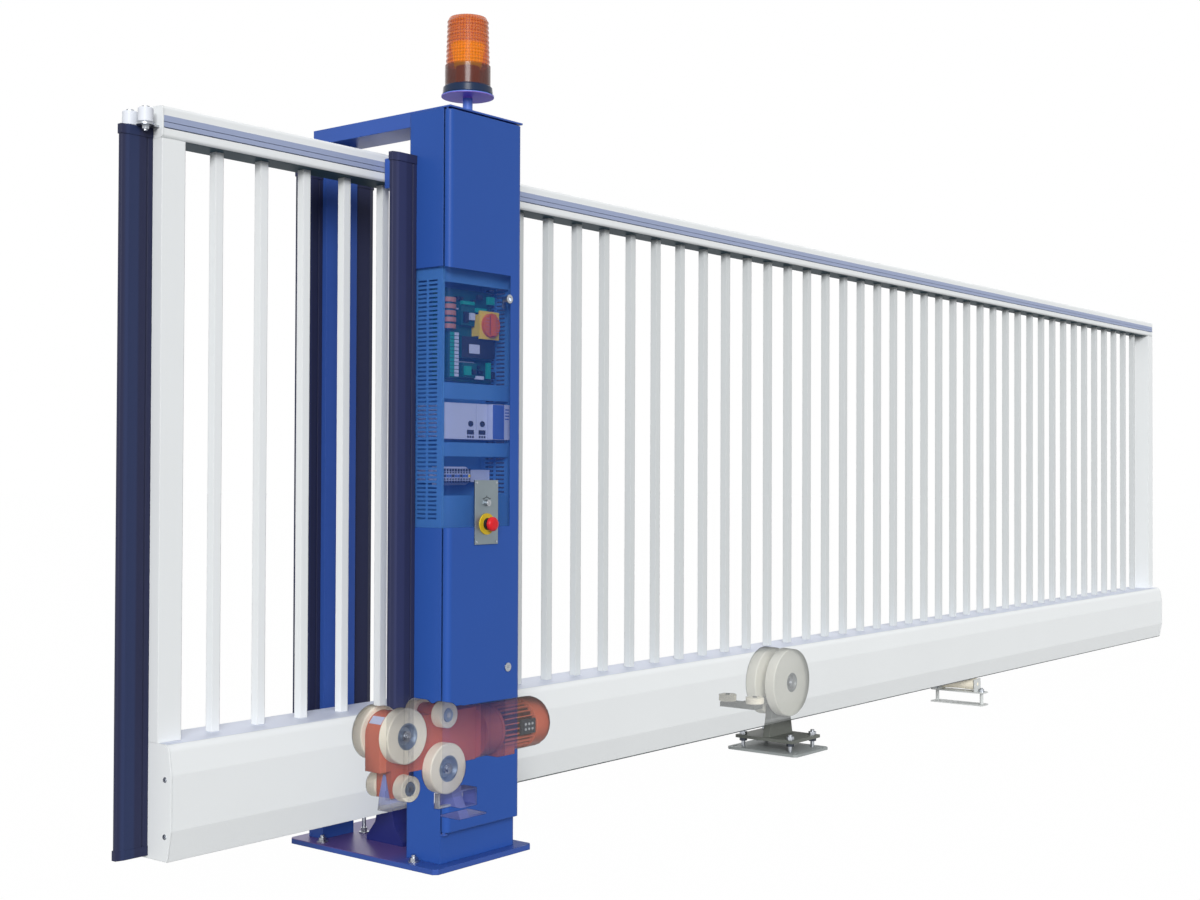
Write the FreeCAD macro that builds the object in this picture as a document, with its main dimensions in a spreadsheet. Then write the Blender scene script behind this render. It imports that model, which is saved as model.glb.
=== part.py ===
"""A sliding driveway gate: a goal-shaped drive portal, the cantilever leaf that runs through it on
wheels inside its hollow lower beam, a roller block and a tail roller behind it."""
import FreeCAD, Part
import math
import os
import re
import Sketcher

doc = FreeCAD.newDocument("SlidingGate")
V = FreeCAD.Vector

# Driving sizes in millimetres, with what each one sets
SIZES = {
    # Base plate and portal
    "base_long": 400, "base_wide": 600, "base_thick": 15, "base_corner": 12,
    "anchor_inset": 30, "anchor_row": 187, "anchor_bore": 18,
    "portal_height": 2100, "portal_deep": 536,
    "column_wide": 300, "column_deep": 130, "column_sheet": 3, "lid_thick": 5,
    "crossbar_wide": 120, "crossbar_tall": 43, "crossbar_wall": 3,
    "rear_post_deep": 60, "rear_post_wall": 4,
    # Rubber safety edges
    "edge_wide": 25, "edge_reach": 88, "edge_shoulder": 69, "edge_carrier": 14, "edge_groove": 2,
    "edge_tip": 12, "edge_foot": 190, "edge_top": 1974, "edge_cap": 24, "edge_cap_lip": 1.5,
    # Upper guide at the rail
    "guide_inset": 15, "guide_long": 70, "guide_drop": 20, "guide_tall": 85, "guide_gap": 5,
    # Column door with its pivots and fittings
    "door_foot": 104, "door_deep": 20, "door_sheet": 2, "door_gap": 5, "door_round": 16,
    "pivot_inset": 5, "pivot_radius": 3, "pivot_collar": 4.5, "pivot_plate": 4, "running_fit": 0.05,
    "panel_wide": 95, "panel_tall": 180, "panel_low": 888, "panel_thick": 4,
    "stop_height": 945, "stop_plate_radius": 30, "stop_plate_thick": 3, "stop_neck_radius": 17,
    "stop_neck_long": 8, "stop_stem_radius": 8, "stop_head_radius": 20, "stop_head_thick": 15,
    "stop_travel": 5, "key_height": 1004, "key_radius": 9, "key_proud": 9, "key_slot": 2,
    "lock_inset": 56, "upper_lock_height": 1586, "lower_lock_height": 535, "lock_radius": 12.5,
    "lock_stem": 9, "lock_proud": 4, "lock_socket": 5, "cam_long": 26, "cam_wide": 14, "cam_thick": 3,
    # Beacon on the column lid
    "beacon_back": 52, "stem_radius": 14, "stem_tall": 58, "tray_radius": 75, "tray_thick": 4,
    "lamp_base_radius": 72, "lamp_base_tall": 26, "lens_foot_radius": 65, "lens_top_radius": 59,
    "lens_tall": 200, "lens_wall": 3, "lens_crown": 16, "lens_rib": 1.6, "lens_band": 58, "lens_step": 2,
    "lamp_stem": 34, "lamp_stem_tall": 56, "lamp_foot": 38, "lamp_radius": 49, "lamp_tall": 120,
    # Control gear in the column
    "chassis_inset": 7, "chassis_front": 10, "chassis_low": 935, "chassis_tall": 725, "chassis_sheet": 2,
    "window_margin": 8, "board_low": 1339, "board_high": 1618, "relay_low": 1173, "relay_high": 1294,
    "module_gap": 10,
    "terminal_low": 1025, "terminal_high": 1134, "vent_tall": 5, "vent_long": 34, "vent_pitch": 12,
    "vent_count": 56, "vent_land": 8, "board_wide": 240, "board_thick": 2, "board_standoff": 60,
    "module_deep": 105,
    "supply_proud": 17, "bank_radius": 23, "bank_core": 17, "bank_sink": 2, "bank_low": 1489,
    "bank_pitch": 18.6, "bank_x": -85,
    "rail_strip": 35, "terminal_wide": 9, "terminal_pitch": 11, "terminal_count": 10, "terminal_deep": 45,
    "strip_base": 50,
    "switch_x": 64, "switch_height": 1510, "switch_plate": 80, "switch_thick": 6, "switch_recess": 12,
    "switch_lip": 9,
    "knob_radius": 34, "knob_thick": 19, "knob_grip": 14, "knob_pin": 4,
    # Leaf
    "leaf_length": 7072, "lead_reach": 888, "leaf_clear": 128, "beam_tall": 288, "beam_wide": 210,
    "beam_foot_wide": 180, "beam_top_wide": 186, "foot_crease": 77, "top_crease": 214, "beam_wall": 8,
    "slot_wide": 76, "shoulder_radius": 22, "end_plate": 5, "end_post_long": 70, "end_post_deep": 100,
    "end_post_wall": 4, "bar_size": 25, "bar_count": 46, "rail_low": 1920, "rail_tall": 82,
    "rail_deep": 100, "rail_wall": 4, "rail_round": 10, "strip_low": 25, "strip_tall": 32,
    "strip_deep": 20, "strip_wall": 3, "strip_slit": 1.5, "strip_gap": 3,
    # Nose of the leaf
    "nose_low": 135, "nose_top": 1946, "bracket_thick": 5, "bracket_wide": 76, "bracket_lobe": 22,
    "nose_roller_radius": 19, "nose_roller_tall": 36, "nose_roller_spread": 65, "nose_roller_out": 37,
    "nose_pin": 6, "nose_head": 3,
    # Drive in the beam
    "wheel_gap": 0.3, "wheel_inner": 36, "tyre_wide": 38, "tyre_bevel": 3,
    "drive_radius": 80, "drive_x": -50, "support_radius": 75, "support_x": 120,
    "small_radius": 38.5, "small_hub": 23, "small_dish": 6, "low_roller_x": -36, "hub_radius": 39,
    "hub_rim": 4,
    "hub_dish": 14, "hub_floor": 26, "hub_sink": 3, "axle_radius": 15,
    "pin_radius": 9, "gear_half": 31, "gear_barrel": 68, "gear_high": 372, "gear_low": 212,
    "gear_end": 282, "gear_nose_low": 226, "clevis_peak": 7, "clevis_inner": 24, "clevis_long": 72,
    "clevis_low": 146,
    "stand_long": 66, "stand_foot": 150, "stand_neck": 56, "foot_thick": 12, "prop_x": 202, "prop_long": 40,
    "shelf_low": 40, "shelf_thick": 6, "shelf_long": 100, "shelf_wide": 80, "channel_low": 70,
    "channel_tall": 56,
    "channel_long": 70, "channel_wall": 5,
    "motor_height": 292, "flange_radius": 82, "flange_thick": 18, "motor_radius": 62, "motor_long": 232,
    "bell_long": 84, "bell_lip": 10, "bell_round": 8, "fin_tall": 15, "fin_thick": 3, "fin_count": 28,
    "fin_long": 140, "fan_radius": 79, "fan_long": 80, "fan_dome": 26,
    "box_start": 88, "box_long": 80, "box_wide": 84, "box_tall": 24,
    # Roller block
    "twin_x": 2063, "twin_radius": 132, "twin_inner": 21, "twin_wide": 44, "twin_hub": 38,
    "block_half": 15, "block_boss": 42, "block_foot": 170, "block_plate_long": 210,
    "block_plate_wide": 260, "block_plate_thick": 12, "block_plate_low": 46, "block_base_long": 250,
    "block_base_wide": 320, "block_base_thick": 10, "base_slot_inset": 38,
    "base_slot_long": 42, "base_slot_wide": 11, "stud_radius": 8, "stud_inset": 22, "nut_radius": 13,
    "nut_tall": 12, "side_x": 1800, "side_radius": 35, "side_tall": 24, "side_pin": 8, "side_height": 214,
    "arm_thick": 20, "arm_long": 60, "arm_reach": 78,
    # Tail roller
    "tail_x": 3680, "tail_radius": 29, "tail_waist": 26, "tail_long": 164, "tail_pin": 8,
    "tail_base_long": 70, "tail_base_wide": 263, "tail_base_thick": 6, "tail_sheet": 6,
    "tail_ear": 32, "tail_clear": 6,
}

# Places worked out from the sizes
PLACES = {
    "column_front": "-portal_deep / 2",
    "column_back": "column_front + column_deep",
    "column_side": "column_wide / 2",
    "post_front": "portal_deep / 2 - rear_post_deep",
    "post_mid": "portal_deep / 2 - rear_post_deep / 2",
    "post_side": "crossbar_wide - column_side",
    "leaf_mid": "(column_back + post_front) / 2",
    "lid_under": "portal_height - lid_thick",
    "door_back": "column_front - door_gap",
    "door_front": "door_back - door_deep",
    "door_top": "lid_under - door_gap",
    "pivot_x": "pivot_inset - column_side",
    "pivot_y": "door_back - pivot_inset",
    "panel_face": "door_front - panel_thick",
    "lock_x": "column_side - lock_inset",
    "beacon_y": "column_front + beacon_back",
    "tray_low": "portal_height + stem_tall",
    "lamp_low": "tray_low + tray_thick",
    "lens_low": "lamp_low + lamp_base_tall",
    "chassis_face": "column_front + chassis_front",
    "chassis_rear": "column_back - column_sheet",
    "chassis_side": "column_side - column_sheet - chassis_inset",
    "chassis_inner": "chassis_rear - chassis_sheet",
    "switch_face": "chassis_face + switch_recess",
    "lead_x": "-lead_reach",
    "tail_end": "leaf_length - lead_reach",
    "beam_top": "leaf_clear + beam_tall",
    "inner_top": "beam_top - beam_wall",
    "inner_floor": "leaf_clear + beam_wall",
    "rail_top": "rail_low + rail_tall",
    "rail_front": "leaf_mid - rail_deep / 2",
    "bar_first": "lead_x + end_post_long",
    "bar_room": "leaf_length - 2 * end_post_long",
    "bar_pitch": "(bar_room + bar_size) / (bar_count + 1)",
    "nose_x": "lead_x - nose_roller_out",
    "roller_low": "nose_top + bracket_thick + 2",
    "drive_z": "inner_top - wheel_gap - drive_radius",
    "support_z": "inner_floor + wheel_gap + support_radius",
    "high_roller_z": "inner_top - wheel_gap - small_radius",
    "low_roller_z": "inner_floor + wheel_gap + small_radius",
    "wheel_outer": "wheel_inner + tyre_wide",
    "twin_z": "inner_floor + wheel_gap + twin_radius",
    "side_off": "beam_wide / 2 - beam_wall - wheel_gap - side_radius",
    "tail_z": "leaf_clear - wheel_gap - tail_radius",
}

sheet = doc.addObject("Spreadsheet::Sheet", "Sizes")
for row, (alias, value) in enumerate(SIZES.items(), start=1):
    sheet.set(f"A{row}", alias)
    sheet.set(f"B{row}", str(value))
    sheet.setAlias(f"B{row}", alias)
doc.recompute()


def link(expression):
    """Write bare size names as sheet references, and place names as what they stand for."""
    def swap(match):
        name = match.group(0)
        if name in SIZES:
            return "Sizes." + name
        if name in PLACES:
            return "(" + link(PLACES[name]) + ")"
        return name
    return re.sub(r"[a-z][a-z_]+", swap, str(expression))


def number(expression):
    """The number that an expression of size and place names stands for now."""
    return float(sheet.evalExpression(link(expression)))


def place(thing, x="0", y="0", z="0"):
    """Tie a thing's position to the sheet."""
    for axis, expression in zip("xyz", (x, y, z)):
        thing.setExpression("Placement.Base." + axis, link(expression))
    return thing


def block(name, x, y, z):
    """A box between pairs of expressions along each axis."""
    thing = doc.addObject("Part::Box", name)
    for prop, (low, high) in zip(("Length", "Width", "Height"), (x, y, z)):
        thing.setExpression(prop, link(f"({high}) - ({low})"))
    return place(thing, x[0], y[0], z[0])


TURNS = {"X": FreeCAD.Rotation(V(0, 1, 0), 90), "Y": FreeCAD.Rotation(V(1, 0, 0), -90),
         "Z": FreeCAD.Rotation()}
LATHE = {"X": FreeCAD.Rotation(), "Y": FreeCAD.Rotation(V(0, 0, 1), 90),
         "Z": FreeCAD.Rotation(V(0, 1, 0), -90)}


def rod(name, radius, along, span, centre):
    """A cylinder along an axis between two expressions, centred at the two other coordinates."""
    thing = doc.addObject("Part::Cylinder", name)
    thing.setExpression("Radius", link(radius))
    thing.setExpression("Height", link(f"({span[1]}) - ({span[0]})"))
    thing.Placement = FreeCAD.Placement(V(0, 0, 0), TURNS[along])
    spots = list(centre)
    spots.insert("XYZ".index(along), span[0])
    return place(thing, *spots)


def cut(name, base, *tools):
    """A piece with other pieces taken out of it."""
    thing = doc.addObject("Part::Cut", name)
    thing.Base = base
    thing.Tool = tools[0] if len(tools) == 1 else join(name + "Tools", *tools)
    return thing


def join(name, *pieces):
    """Pieces that are one casting, weld or moulding."""
    thing = doc.addObject("Part::MultiFuse", name)
    thing.Shapes = list(pieces)
    thing.Refine = True
    return thing


def group(name, *pieces):
    """Like pieces kept as separate solids in one sub-part."""
    thing = doc.addObject("Part::Compound", name)
    thing.Links = list(pieces)
    return thing


def sketch_on(body, role, loops):
    """A sketch of closed outlines, each corner held by two distances tied to the sheet."""
    plane = [feature for feature in body.Origin.OriginFeatures if feature.Role == role][0]
    sketch = body.newObject("Sketcher::SketchObject", body.Name + "Sketch")
    sketch.AttachmentSupport = (plane, [""])
    sketch.MapMode = "FlatFace"
    for loop in loops:
        first = sketch.GeometryCount
        count = len(loop)
        points = [V(number(u), number(v), 0) for u, v in loop]
        sides = [Part.LineSegment(points[k], points[(k + 1) % count]) for k in range(count)]
        sketch.addGeometry(sides, False)
        rules = []
        for k in range(count):
            rules.append(Sketcher.Constraint("Coincident", first + k, 2, first + (k + 1) % count, 1))
        start = sketch.ConstraintCount + count
        for k, point in enumerate(points):
            rules.append(Sketcher.Constraint("DistanceX", -1, 1, first + k, 1, point.x))
            rules.append(Sketcher.Constraint("DistanceY", -1, 1, first + k, 1, point.y))
        sketch.addConstraint(rules)
        for k, (u, v) in enumerate(loop):
            sketch.setExpression(f"Constraints[{start + 2 * k}]", link(u))
            sketch.setExpression(f"Constraints[{start + 2 * k + 1}]", link(v))
    return sketch


def pad(name, role, loops, start, length):
    """A body padded from outlines on an origin plane, from start along the plane's own axis."""
    body = doc.addObject("PartDesign::Body", name)
    sketch = sketch_on(body, role, loops)
    feature = body.newObject("PartDesign::Pad", name + "Pad")
    feature.Profile = sketch
    feature.Reversed = role == "XZ_Plane"
    feature.setExpression("Length", link(length))
    axis = {"XY_Plane": "z", "XZ_Plane": "y", "YZ_Plane": "x"}[role]
    body.setExpression("Placement.Base." + axis, link(start))
    return body


def turned(name, outline, along, x="0", y="0", z="0"):
    """A body of revolution from an outline of (distance along, radius) pairs."""
    body = doc.addObject("PartDesign::Body", name)
    sketch = sketch_on(body, "XY_Plane", [outline])
    feature = body.newObject("PartDesign::Revolution", name + "Turn")
    feature.Profile = sketch
    feature.ReferenceAxis = (sketch, ["H_Axis"])
    feature.Angle = 360
    body.Placement = FreeCAD.Placement(V(0, 0, 0), LATHE[along])
    return place(body, x, y, z)


def rounded(body, radius, corners):
    """Fillet a pad's long edges that pass through the given corners of its outline."""
    doc.recompute()
    feature = body.Tip
    wanted = [(number(u), number(v)) for u, v in corners]
    names = []
    for index, edge in enumerate(feature.Shape.Edges, start=1):
        ends = [vertex.Point for vertex in edge.Vertexes]
        if len(ends) != 2:
            continue
        run = ends[1] - ends[0]
        long_axis = max(range(3), key=lambda k: abs(run[k]))
        flat = [tuple(end[k] for k in range(3) if k != long_axis) for end in ends]
        for spot in wanted:
            if all(abs(f[0] - spot[0]) < 1e-4 and abs(f[1] - spot[1]) < 1e-4 for f in flat):
                names.append(f"Edge{index}")
    fillet = body.newObject("PartDesign::Fillet", body.Name + "Fillet")
    fillet.Base = (feature, names)
    fillet.setExpression("Radius", link(radius))
    body.Tip = fillet
    return body


def oblong(low_u, high_u, low_v, high_v):
    """Corners of an upright rectangle."""
    return [(low_u, low_v), (high_u, low_v), (high_u, high_v), (low_u, high_v)]


def both_sides(half, middle):
    """An outline from its right half, mirrored about a middle line."""
    right = [(f"{middle} + ({u})", v) for u, v in half]
    left = [(f"{middle} - ({u})", v) for u, v in reversed(half)]
    return right + left


PARTS = []


def part(label, thing):
    """Name a finished sub-part."""
    thing.Label = label
    PARTS.append(thing)
    return thing


# Base plate with cut corners and four anchor holes
half_x = "base_long / 2"
half_y = "base_wide / 2"
corners = [
    (f"-{half_x} + base_corner", f"-{half_y}"), (f"{half_x} - base_corner", f"-{half_y}"),
    (half_x, f"-{half_y} + base_corner"), (half_x, f"{half_y} - base_corner"),
    (f"{half_x} - base_corner", half_y), (f"-{half_x} + base_corner", half_y),
    (f"-{half_x}", f"{half_y} - base_corner"), (f"-{half_x}", f"-{half_y} + base_corner"),
]
anchors = []
for sign_x in ("-", "+"):
    for sign_y in ("-", "+"):
        spot = (f"{sign_x}({half_x} - anchor_inset)", f"{sign_y}anchor_row")
        anchors.append(rod(f"Anchor{len(anchors)}", "anchor_bore / 2", "Z", ("-1", "base_thick + 1"), spot))
plate = pad("BasePlate", "XY_Plane", [corners], "0", "base_thick")
part("base_plate", cut("BasePlateDrilled", plate, *anchors))

# Column shell folded round three sides, with the plinth front welded in at its foot
shell_outline = [
    ("-column_side", "column_front"), ("-column_side + column_sheet", "column_front"),
    ("-column_side + column_sheet", "column_back - column_sheet"),
    ("column_side - column_sheet", "column_back - column_sheet"),
    ("column_side - column_sheet", "column_front"), ("column_side", "column_front"),
    ("column_side", "column_back"), ("-column_side", "column_back"),
]
shell = pad("ColumnShell", "XY_Plane", [shell_outline], "base_thick", "lid_under - base_thick")
plinth = block("Plinth", ("-column_side + column_sheet", "column_side - column_sheet"),
               ("column_front", "column_front + column_sheet"), ("base_thick", "door_foot - door_gap"))
part("column_shell", join("ColumnWelded", shell, plinth))
part("column_lid", block("ColumnLid", ("-column_side", "column_side"), ("door_front", "column_back"),
                         ("lid_under", "portal_height")))

# Crossbar tube from the column over the rear post, closed at its rear end
bar_outer = block("CrossbarOuter", ("-column_side", "post_side"), ("column_back", "portal_deep / 2"),
                  ("portal_height - crossbar_tall", "portal_height"))
bar_inner = block("CrossbarInner", ("-column_side + crossbar_wall", "post_side - crossbar_wall"),
                  ("column_back", "portal_deep / 2 - crossbar_wall"),
                  ("portal_height - crossbar_tall + crossbar_wall", "portal_height - crossbar_wall"))
part("crossbar", cut("Crossbar", bar_outer, bar_inner))

# Rear post tube under the crossbar
post_loops = [
    oblong("-column_side", "post_side", "post_front", "portal_deep / 2"),
    oblong("-column_side + rear_post_wall", "post_side - rear_post_wall",
           "post_front + rear_post_wall", "portal_deep / 2 - rear_post_wall"),
]
part("rear_post", pad("RearPost", "XY_Plane", post_loops, "base_thick",
                      "portal_height - crossbar_tall - base_thick"))

# Rubber safety edges: a carrier groove, a hollow-looking body, a shoulder and a narrow rounded tip
edge_half = [
    ("edge_wide / 2", "0"), ("edge_wide / 2", "edge_carrier"),
    ("edge_wide / 2 - edge_groove", "edge_carrier"),
    ("edge_wide / 2 - edge_groove", "edge_carrier + 2 * edge_groove"),
    ("edge_wide / 2", "edge_carrier + 2 * edge_groove"), ("edge_wide / 2", "edge_shoulder"),
    ("edge_tip / 2", "edge_reach"),
]


def safety_edge(name, turn, x, y, low, high):
    """One rubber edge with a moulded cap at each end, its root on a face and its tip along a turn."""
    outline = both_sides(edge_half, "0")
    body = pad(name, "XY_Plane", [outline], "0", f"({high}) - ({low}) - 2 * edge_cap")
    rounded(body, "edge_tip / 3", [("edge_tip / 2", "edge_reach"), ("-edge_tip / 2", "edge_reach")])
    body.Placement = FreeCAD.Placement(V(0, 0, 0), FreeCAD.Rotation(V(0, 0, 1), turn))
    place(body, x, y, f"({low}) + edge_cap")
    pieces = [body]
    half = "edge_wide / 2 + edge_cap_lip"
    for tag, bottom in (("Foot", f"({low})"), ("Head", f"({high}) - edge_cap")):
        cap_half = [(half, "0"), (half, "edge_shoulder"),
                    ("edge_tip / 2 + edge_cap_lip", "edge_reach + edge_cap_lip")]
        cap = pad(name + tag, "XY_Plane", [both_sides(cap_half, "0")], "0", "edge_cap")
        cap.Placement = FreeCAD.Placement(V(0, 0, 0), FreeCAD.Rotation(V(0, 0, 1), turn))
        pieces.append(place(cap, x, y, bottom))
    return join(name + "Capped", *pieces)


edge_y = "column_back - edge_wide / 2 - edge_cap_lip"
edges = [
    safety_edge("ColumnEdgeLead", 90, "-column_side", edge_y, "edge_foot", "edge_top"),
    safety_edge("ColumnEdgeTail", -90, "column_side", edge_y, "edge_foot", "edge_top"),
    safety_edge("PostEdgeLead", 90, "-column_side", "post_mid", "edge_foot", "edge_top"),
    safety_edge("PostEdgeTail", -90, "post_side", "post_mid", "edge_foot", "edge_top"),
]
part("safety_edges", group("SafetyEdges", *edges))

# Upper guide block from the column to the rail
part("guide_block", block("GuideBlock",
                          ("-column_side + guide_inset", "-column_side + guide_inset + guide_long"),
                          ("column_back", "rail_front - guide_gap"),
                          ("rail_low - guide_drop", "rail_low - guide_drop + guide_tall")))

# Column door: a folded tray on a pin from the lid and a pin from a foot plate
front_corners = [("-column_side", "door_front"), ("column_side", "door_front")]
tray_outer = rounded(pad("DoorOuter", "XY_Plane",
                         [oblong("-column_side", "column_side", "door_front", "door_back")],
                         "door_foot", "door_top - door_foot"), "door_round", front_corners)
inner_corners = [("-column_side + door_sheet", "door_front + door_sheet"),
                 ("column_side - door_sheet", "door_front + door_sheet")]
tray_inner = rounded(pad("DoorInner", "XY_Plane",
                         [oblong("-column_side + door_sheet", "column_side - door_sheet",
                                 "door_front + door_sheet", "door_back + 1")],
                         "door_foot + door_sheet", "door_top - door_foot - 2 * door_sheet"),
                     "door_round - door_sheet", inner_corners)
pivot_hole = rod("PivotHole", "pivot_radius + running_fit", "Z", ("door_foot - 1", "door_top + 1"),
                 ("pivot_x", "pivot_y"))
lock_holes = []
for tag in ("upper", "lower"):
    lock_holes.append(rod(f"LockHole{tag}", "lock_stem + running_fit", "Y", ("door_front - 1", "door_back"),
                          ("lock_x", f"{tag}_lock_height")))
key_hole = rod("KeyHole", "key_radius + running_fit", "Y", ("panel_face - 1", "door_back"),
               ("0", "key_height"))
stop_hole = rod("StopHole", "stop_stem_radius + running_fit", "Y", ("panel_face - 1", "door_back"),
                ("0", "stop_height"))
part("door_panel", cut("DoorTray", tray_outer, tray_inner, pivot_hole, key_hole, stop_hole, *lock_holes))
top_pin = rod("TopPin", "pivot_radius", "Z", ("door_top - door_sheet - 4", "lid_under"),
              ("pivot_x", "pivot_y"))
foot_pin = rod("FootPin", "pivot_radius", "Z",
               ("door_foot - door_gap - pivot_plate", "door_foot + door_sheet + 4"),
               ("pivot_x", "pivot_y"))
foot_collar = rod("FootCollar", "pivot_collar", "Z",
                  ("door_foot - door_gap - pivot_plate", "door_foot - wheel_gap"),
                  ("pivot_x", "pivot_y"))
foot_plate = block("FootPlate", ("-column_side", "pivot_x + 3 * pivot_radius"),
                   ("pivot_y - 2 * pivot_radius", "column_front"),
                   ("door_foot - door_gap - pivot_plate", "door_foot - door_gap"))
part("door_pivots", group("DoorPivots", top_pin, join("FootPivot", foot_plate, foot_pin, foot_collar)))

# Bare operating plate with the bores for the key switch and the stop button
panel_body = block("Panel", ("-panel_wide / 2", "panel_wide / 2"), ("panel_face", "door_front"),
                   ("panel_low", "panel_low + panel_tall"))
part("control_plate", cut("PanelBored", panel_body, key_hole, stop_hole))

# Stop button: round plate and neck, with a mushroom head on a stem that slides in the neck
collar_outline = [
    ("0", "stop_stem_radius + running_fit"), ("0", "stop_plate_radius"),
    ("stop_plate_thick", "stop_plate_radius"),
    ("stop_plate_thick", "stop_neck_radius"), ("stop_plate_thick + stop_neck_long", "stop_neck_radius - 1"),
    ("stop_plate_thick + stop_neck_long", "stop_stem_radius + running_fit"),
]
collar = turned("StopCollar", collar_outline, "Y", "0", "panel_face", "stop_height")
collar.Placement = FreeCAD.Placement(V(0, 0, 0), FreeCAD.Rotation(V(0, 0, 1), -90))
part("stop_collar", place(collar, "0", "panel_face", "stop_height"))
stop_base = "stop_plate_thick + stop_neck_long + stop_travel + 1"
button_outline = [
    ("0", "0"), ("0", "stop_stem_radius"), (stop_base, "stop_stem_radius"),
    (stop_base, "stop_head_radius - 2"),
    (f"{stop_base} + 2", "stop_head_radius"), (f"{stop_base} + stop_head_thick - 6", "stop_head_radius"),
    (f"{stop_base} + stop_head_thick - 2", "stop_head_radius - 3"),
    (f"{stop_base} + stop_head_thick", "stop_head_radius - 9"),
    (f"{stop_base} + stop_head_thick", "0"),
]
button = turned("StopButton", button_outline, "Y", "0", "panel_face", "stop_height")
button.Placement = FreeCAD.Placement(V(0, 0, 0), FreeCAD.Rotation(V(0, 0, 1), -90))
part("stop_button", place(button, "0", "panel_face", "stop_height"))

# Key barrel with its slot
barrel = rod("KeyBarrel", "key_radius", "Y", ("panel_face - key_proud", "door_front"), ("0", "key_height"))
key_slot = block("KeySlot", ("-key_slot / 2", "key_slot / 2"),
                 ("panel_face - key_proud - 1", "panel_face - key_proud + 4"),
                 ("key_height - key_radius * 0.6", "key_height + key_radius * 0.6"))
part("key_switch", cut("KeySlotted", barrel, key_slot))

# Two quarter-turn locks, each a flanged barrel with a square socket and a cam behind the door
for tag in ("upper", "lower"):
    height = f"{tag}_lock_height"
    flange = rod(f"Flange{tag}", "lock_radius", "Y", ("door_front - lock_proud", "door_front"),
                 ("lock_x", height))
    stem = rod(f"Stem{tag}", "lock_stem", "Y", ("door_front", "door_back - cam_thick"), ("lock_x", height))
    cam = block(f"Cam{tag}", ("lock_x - cam_wide / 2", "lock_x + cam_wide / 2"),
                ("door_back - cam_thick", "door_back"), (f"{height} - cam_long", f"{height} + cam_wide / 2"))
    socket = block(f"Socket{tag}", ("lock_x - lock_socket", "lock_x + lock_socket"),
                   ("door_front - lock_proud - 1", "door_front"),
                   (f"{height} - lock_socket", f"{height} + lock_socket"))
    part(f"{tag}_lock", cut(f"Lock{tag}", join(f"LockBody{tag}", flange, stem, cam), socket))

# Beacon: stem with a round tray, lamp base, ribbed lens shell and the lamp inside
stand_outline = [
    ("0", "0"), ("0", "stem_radius"), ("stem_tall", "stem_radius"), ("stem_tall", "tray_radius"),
    ("stem_tall + tray_thick", "tray_radius"), ("stem_tall + tray_thick", "0"),
]
part("beacon_stand", turned("BeaconStand", stand_outline, "Z", "0", "beacon_y", "portal_height"))
lamp_base_outline = [
    ("0", "0"), ("0", "lamp_base_radius - 3"), ("3", "lamp_base_radius"),
    ("lamp_base_tall - 4", "lamp_base_radius - 2"),
    ("lamp_base_tall", "lens_foot_radius"), ("lamp_base_tall", "0"),
]
part("beacon_base", turned("BeaconBase", lamp_base_outline, "Z", "0", "beacon_y", "lamp_low"))
ribs = 9
taper = "(lens_foot_radius - lens_step - lens_top_radius) / (lens_tall - lens_crown - lens_band)"
rib_step = f"(lens_tall - lens_crown - lens_band) / {2 * ribs}"
lens_outline = [("0", "lens_foot_radius - lens_wall - lens_step"), ("0", "lens_foot_radius"),
                ("lens_band", "lens_foot_radius")]
for k in range(2 * ribs + 1):
    along = f"{k} * {rib_step}"
    swell = "lens_rib" if k % 2 else "0"
    lens_outline.append((f"lens_band + {along}",
                         f"lens_foot_radius - lens_step - {taper} * {along} - {swell}"))
lens_outline += [
    ("lens_tall - lens_crown / 3", "lens_top_radius - lens_crown / 3"),
    ("lens_tall", "lens_top_radius - 1.4 * lens_crown"),
    ("lens_tall", "0"), ("lens_tall - lens_wall", "0"),
    ("lens_tall - lens_wall", "lens_top_radius - 1.4 * lens_crown - lens_wall"),
    ("lens_tall - lens_crown", "lens_top_radius - 2 * lens_wall"),
]
part("beacon_lens", turned("BeaconLens", lens_outline, "Z", "0", "beacon_y", "lens_low"))
lamp_outline = [
    ("0", "0"), ("0", "lamp_stem"), ("lamp_stem_tall", "lamp_stem"), ("lamp_stem_tall", "lamp_foot"),
    ("lamp_tall", "lamp_radius"), ("lamp_tall", "0"),
]
part("beacon_lamp", turned("BeaconLamp", lamp_outline, "Z", "0", "beacon_y", "lens_low"))

# Vented control chassis with three front windows
chassis_outer = block("ChassisOuter", ("-chassis_side", "chassis_side"), ("chassis_face", "chassis_rear"),
                      ("chassis_low", "chassis_low + chassis_tall"))
chassis_inner = block("ChassisInner", ("-chassis_side + chassis_sheet", "chassis_side - chassis_sheet"),
                      ("chassis_face + chassis_sheet", "chassis_inner"),
                      ("chassis_low + chassis_sheet", "chassis_low + chassis_tall - chassis_sheet"))
windows = []
for tag in ("board", "relay", "terminal"):
    windows.append(block(f"Window{tag}", ("-chassis_side + window_margin", "chassis_side - window_margin"),
                         ("chassis_face - 1", "chassis_face + chassis_sheet + 1"),
                         (f"{tag}_low", f"{tag}_high")))
vent_body = doc.addObject("PartDesign::Body", "Vents")
vent_rise = ("chassis_low + 2 * vent_pitch", "chassis_low + 2 * vent_pitch + vent_tall")
vent_mid = "(chassis_face + chassis_rear) / 2"
vent_sketch = sketch_on(vent_body, "YZ_Plane", [
    oblong(f"{vent_mid} - vent_land / 2 - vent_long", f"{vent_mid} - vent_land / 2", *vent_rise),
    oblong(f"{vent_mid} + vent_land / 2", f"{vent_mid} + vent_land / 2 + vent_long", *vent_rise),
])
vent_pad = vent_body.newObject("PartDesign::Pad", "VentPad")
vent_pad.Profile = vent_sketch
vent_pad.setExpression("Length", link("2 * column_side"))
vent_rows = vent_body.newObject("PartDesign::LinearPattern", "VentRows")
vent_rows.Originals = [vent_pad]
vent_rows.Direction = (vent_sketch, ["V_Axis"])
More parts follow.
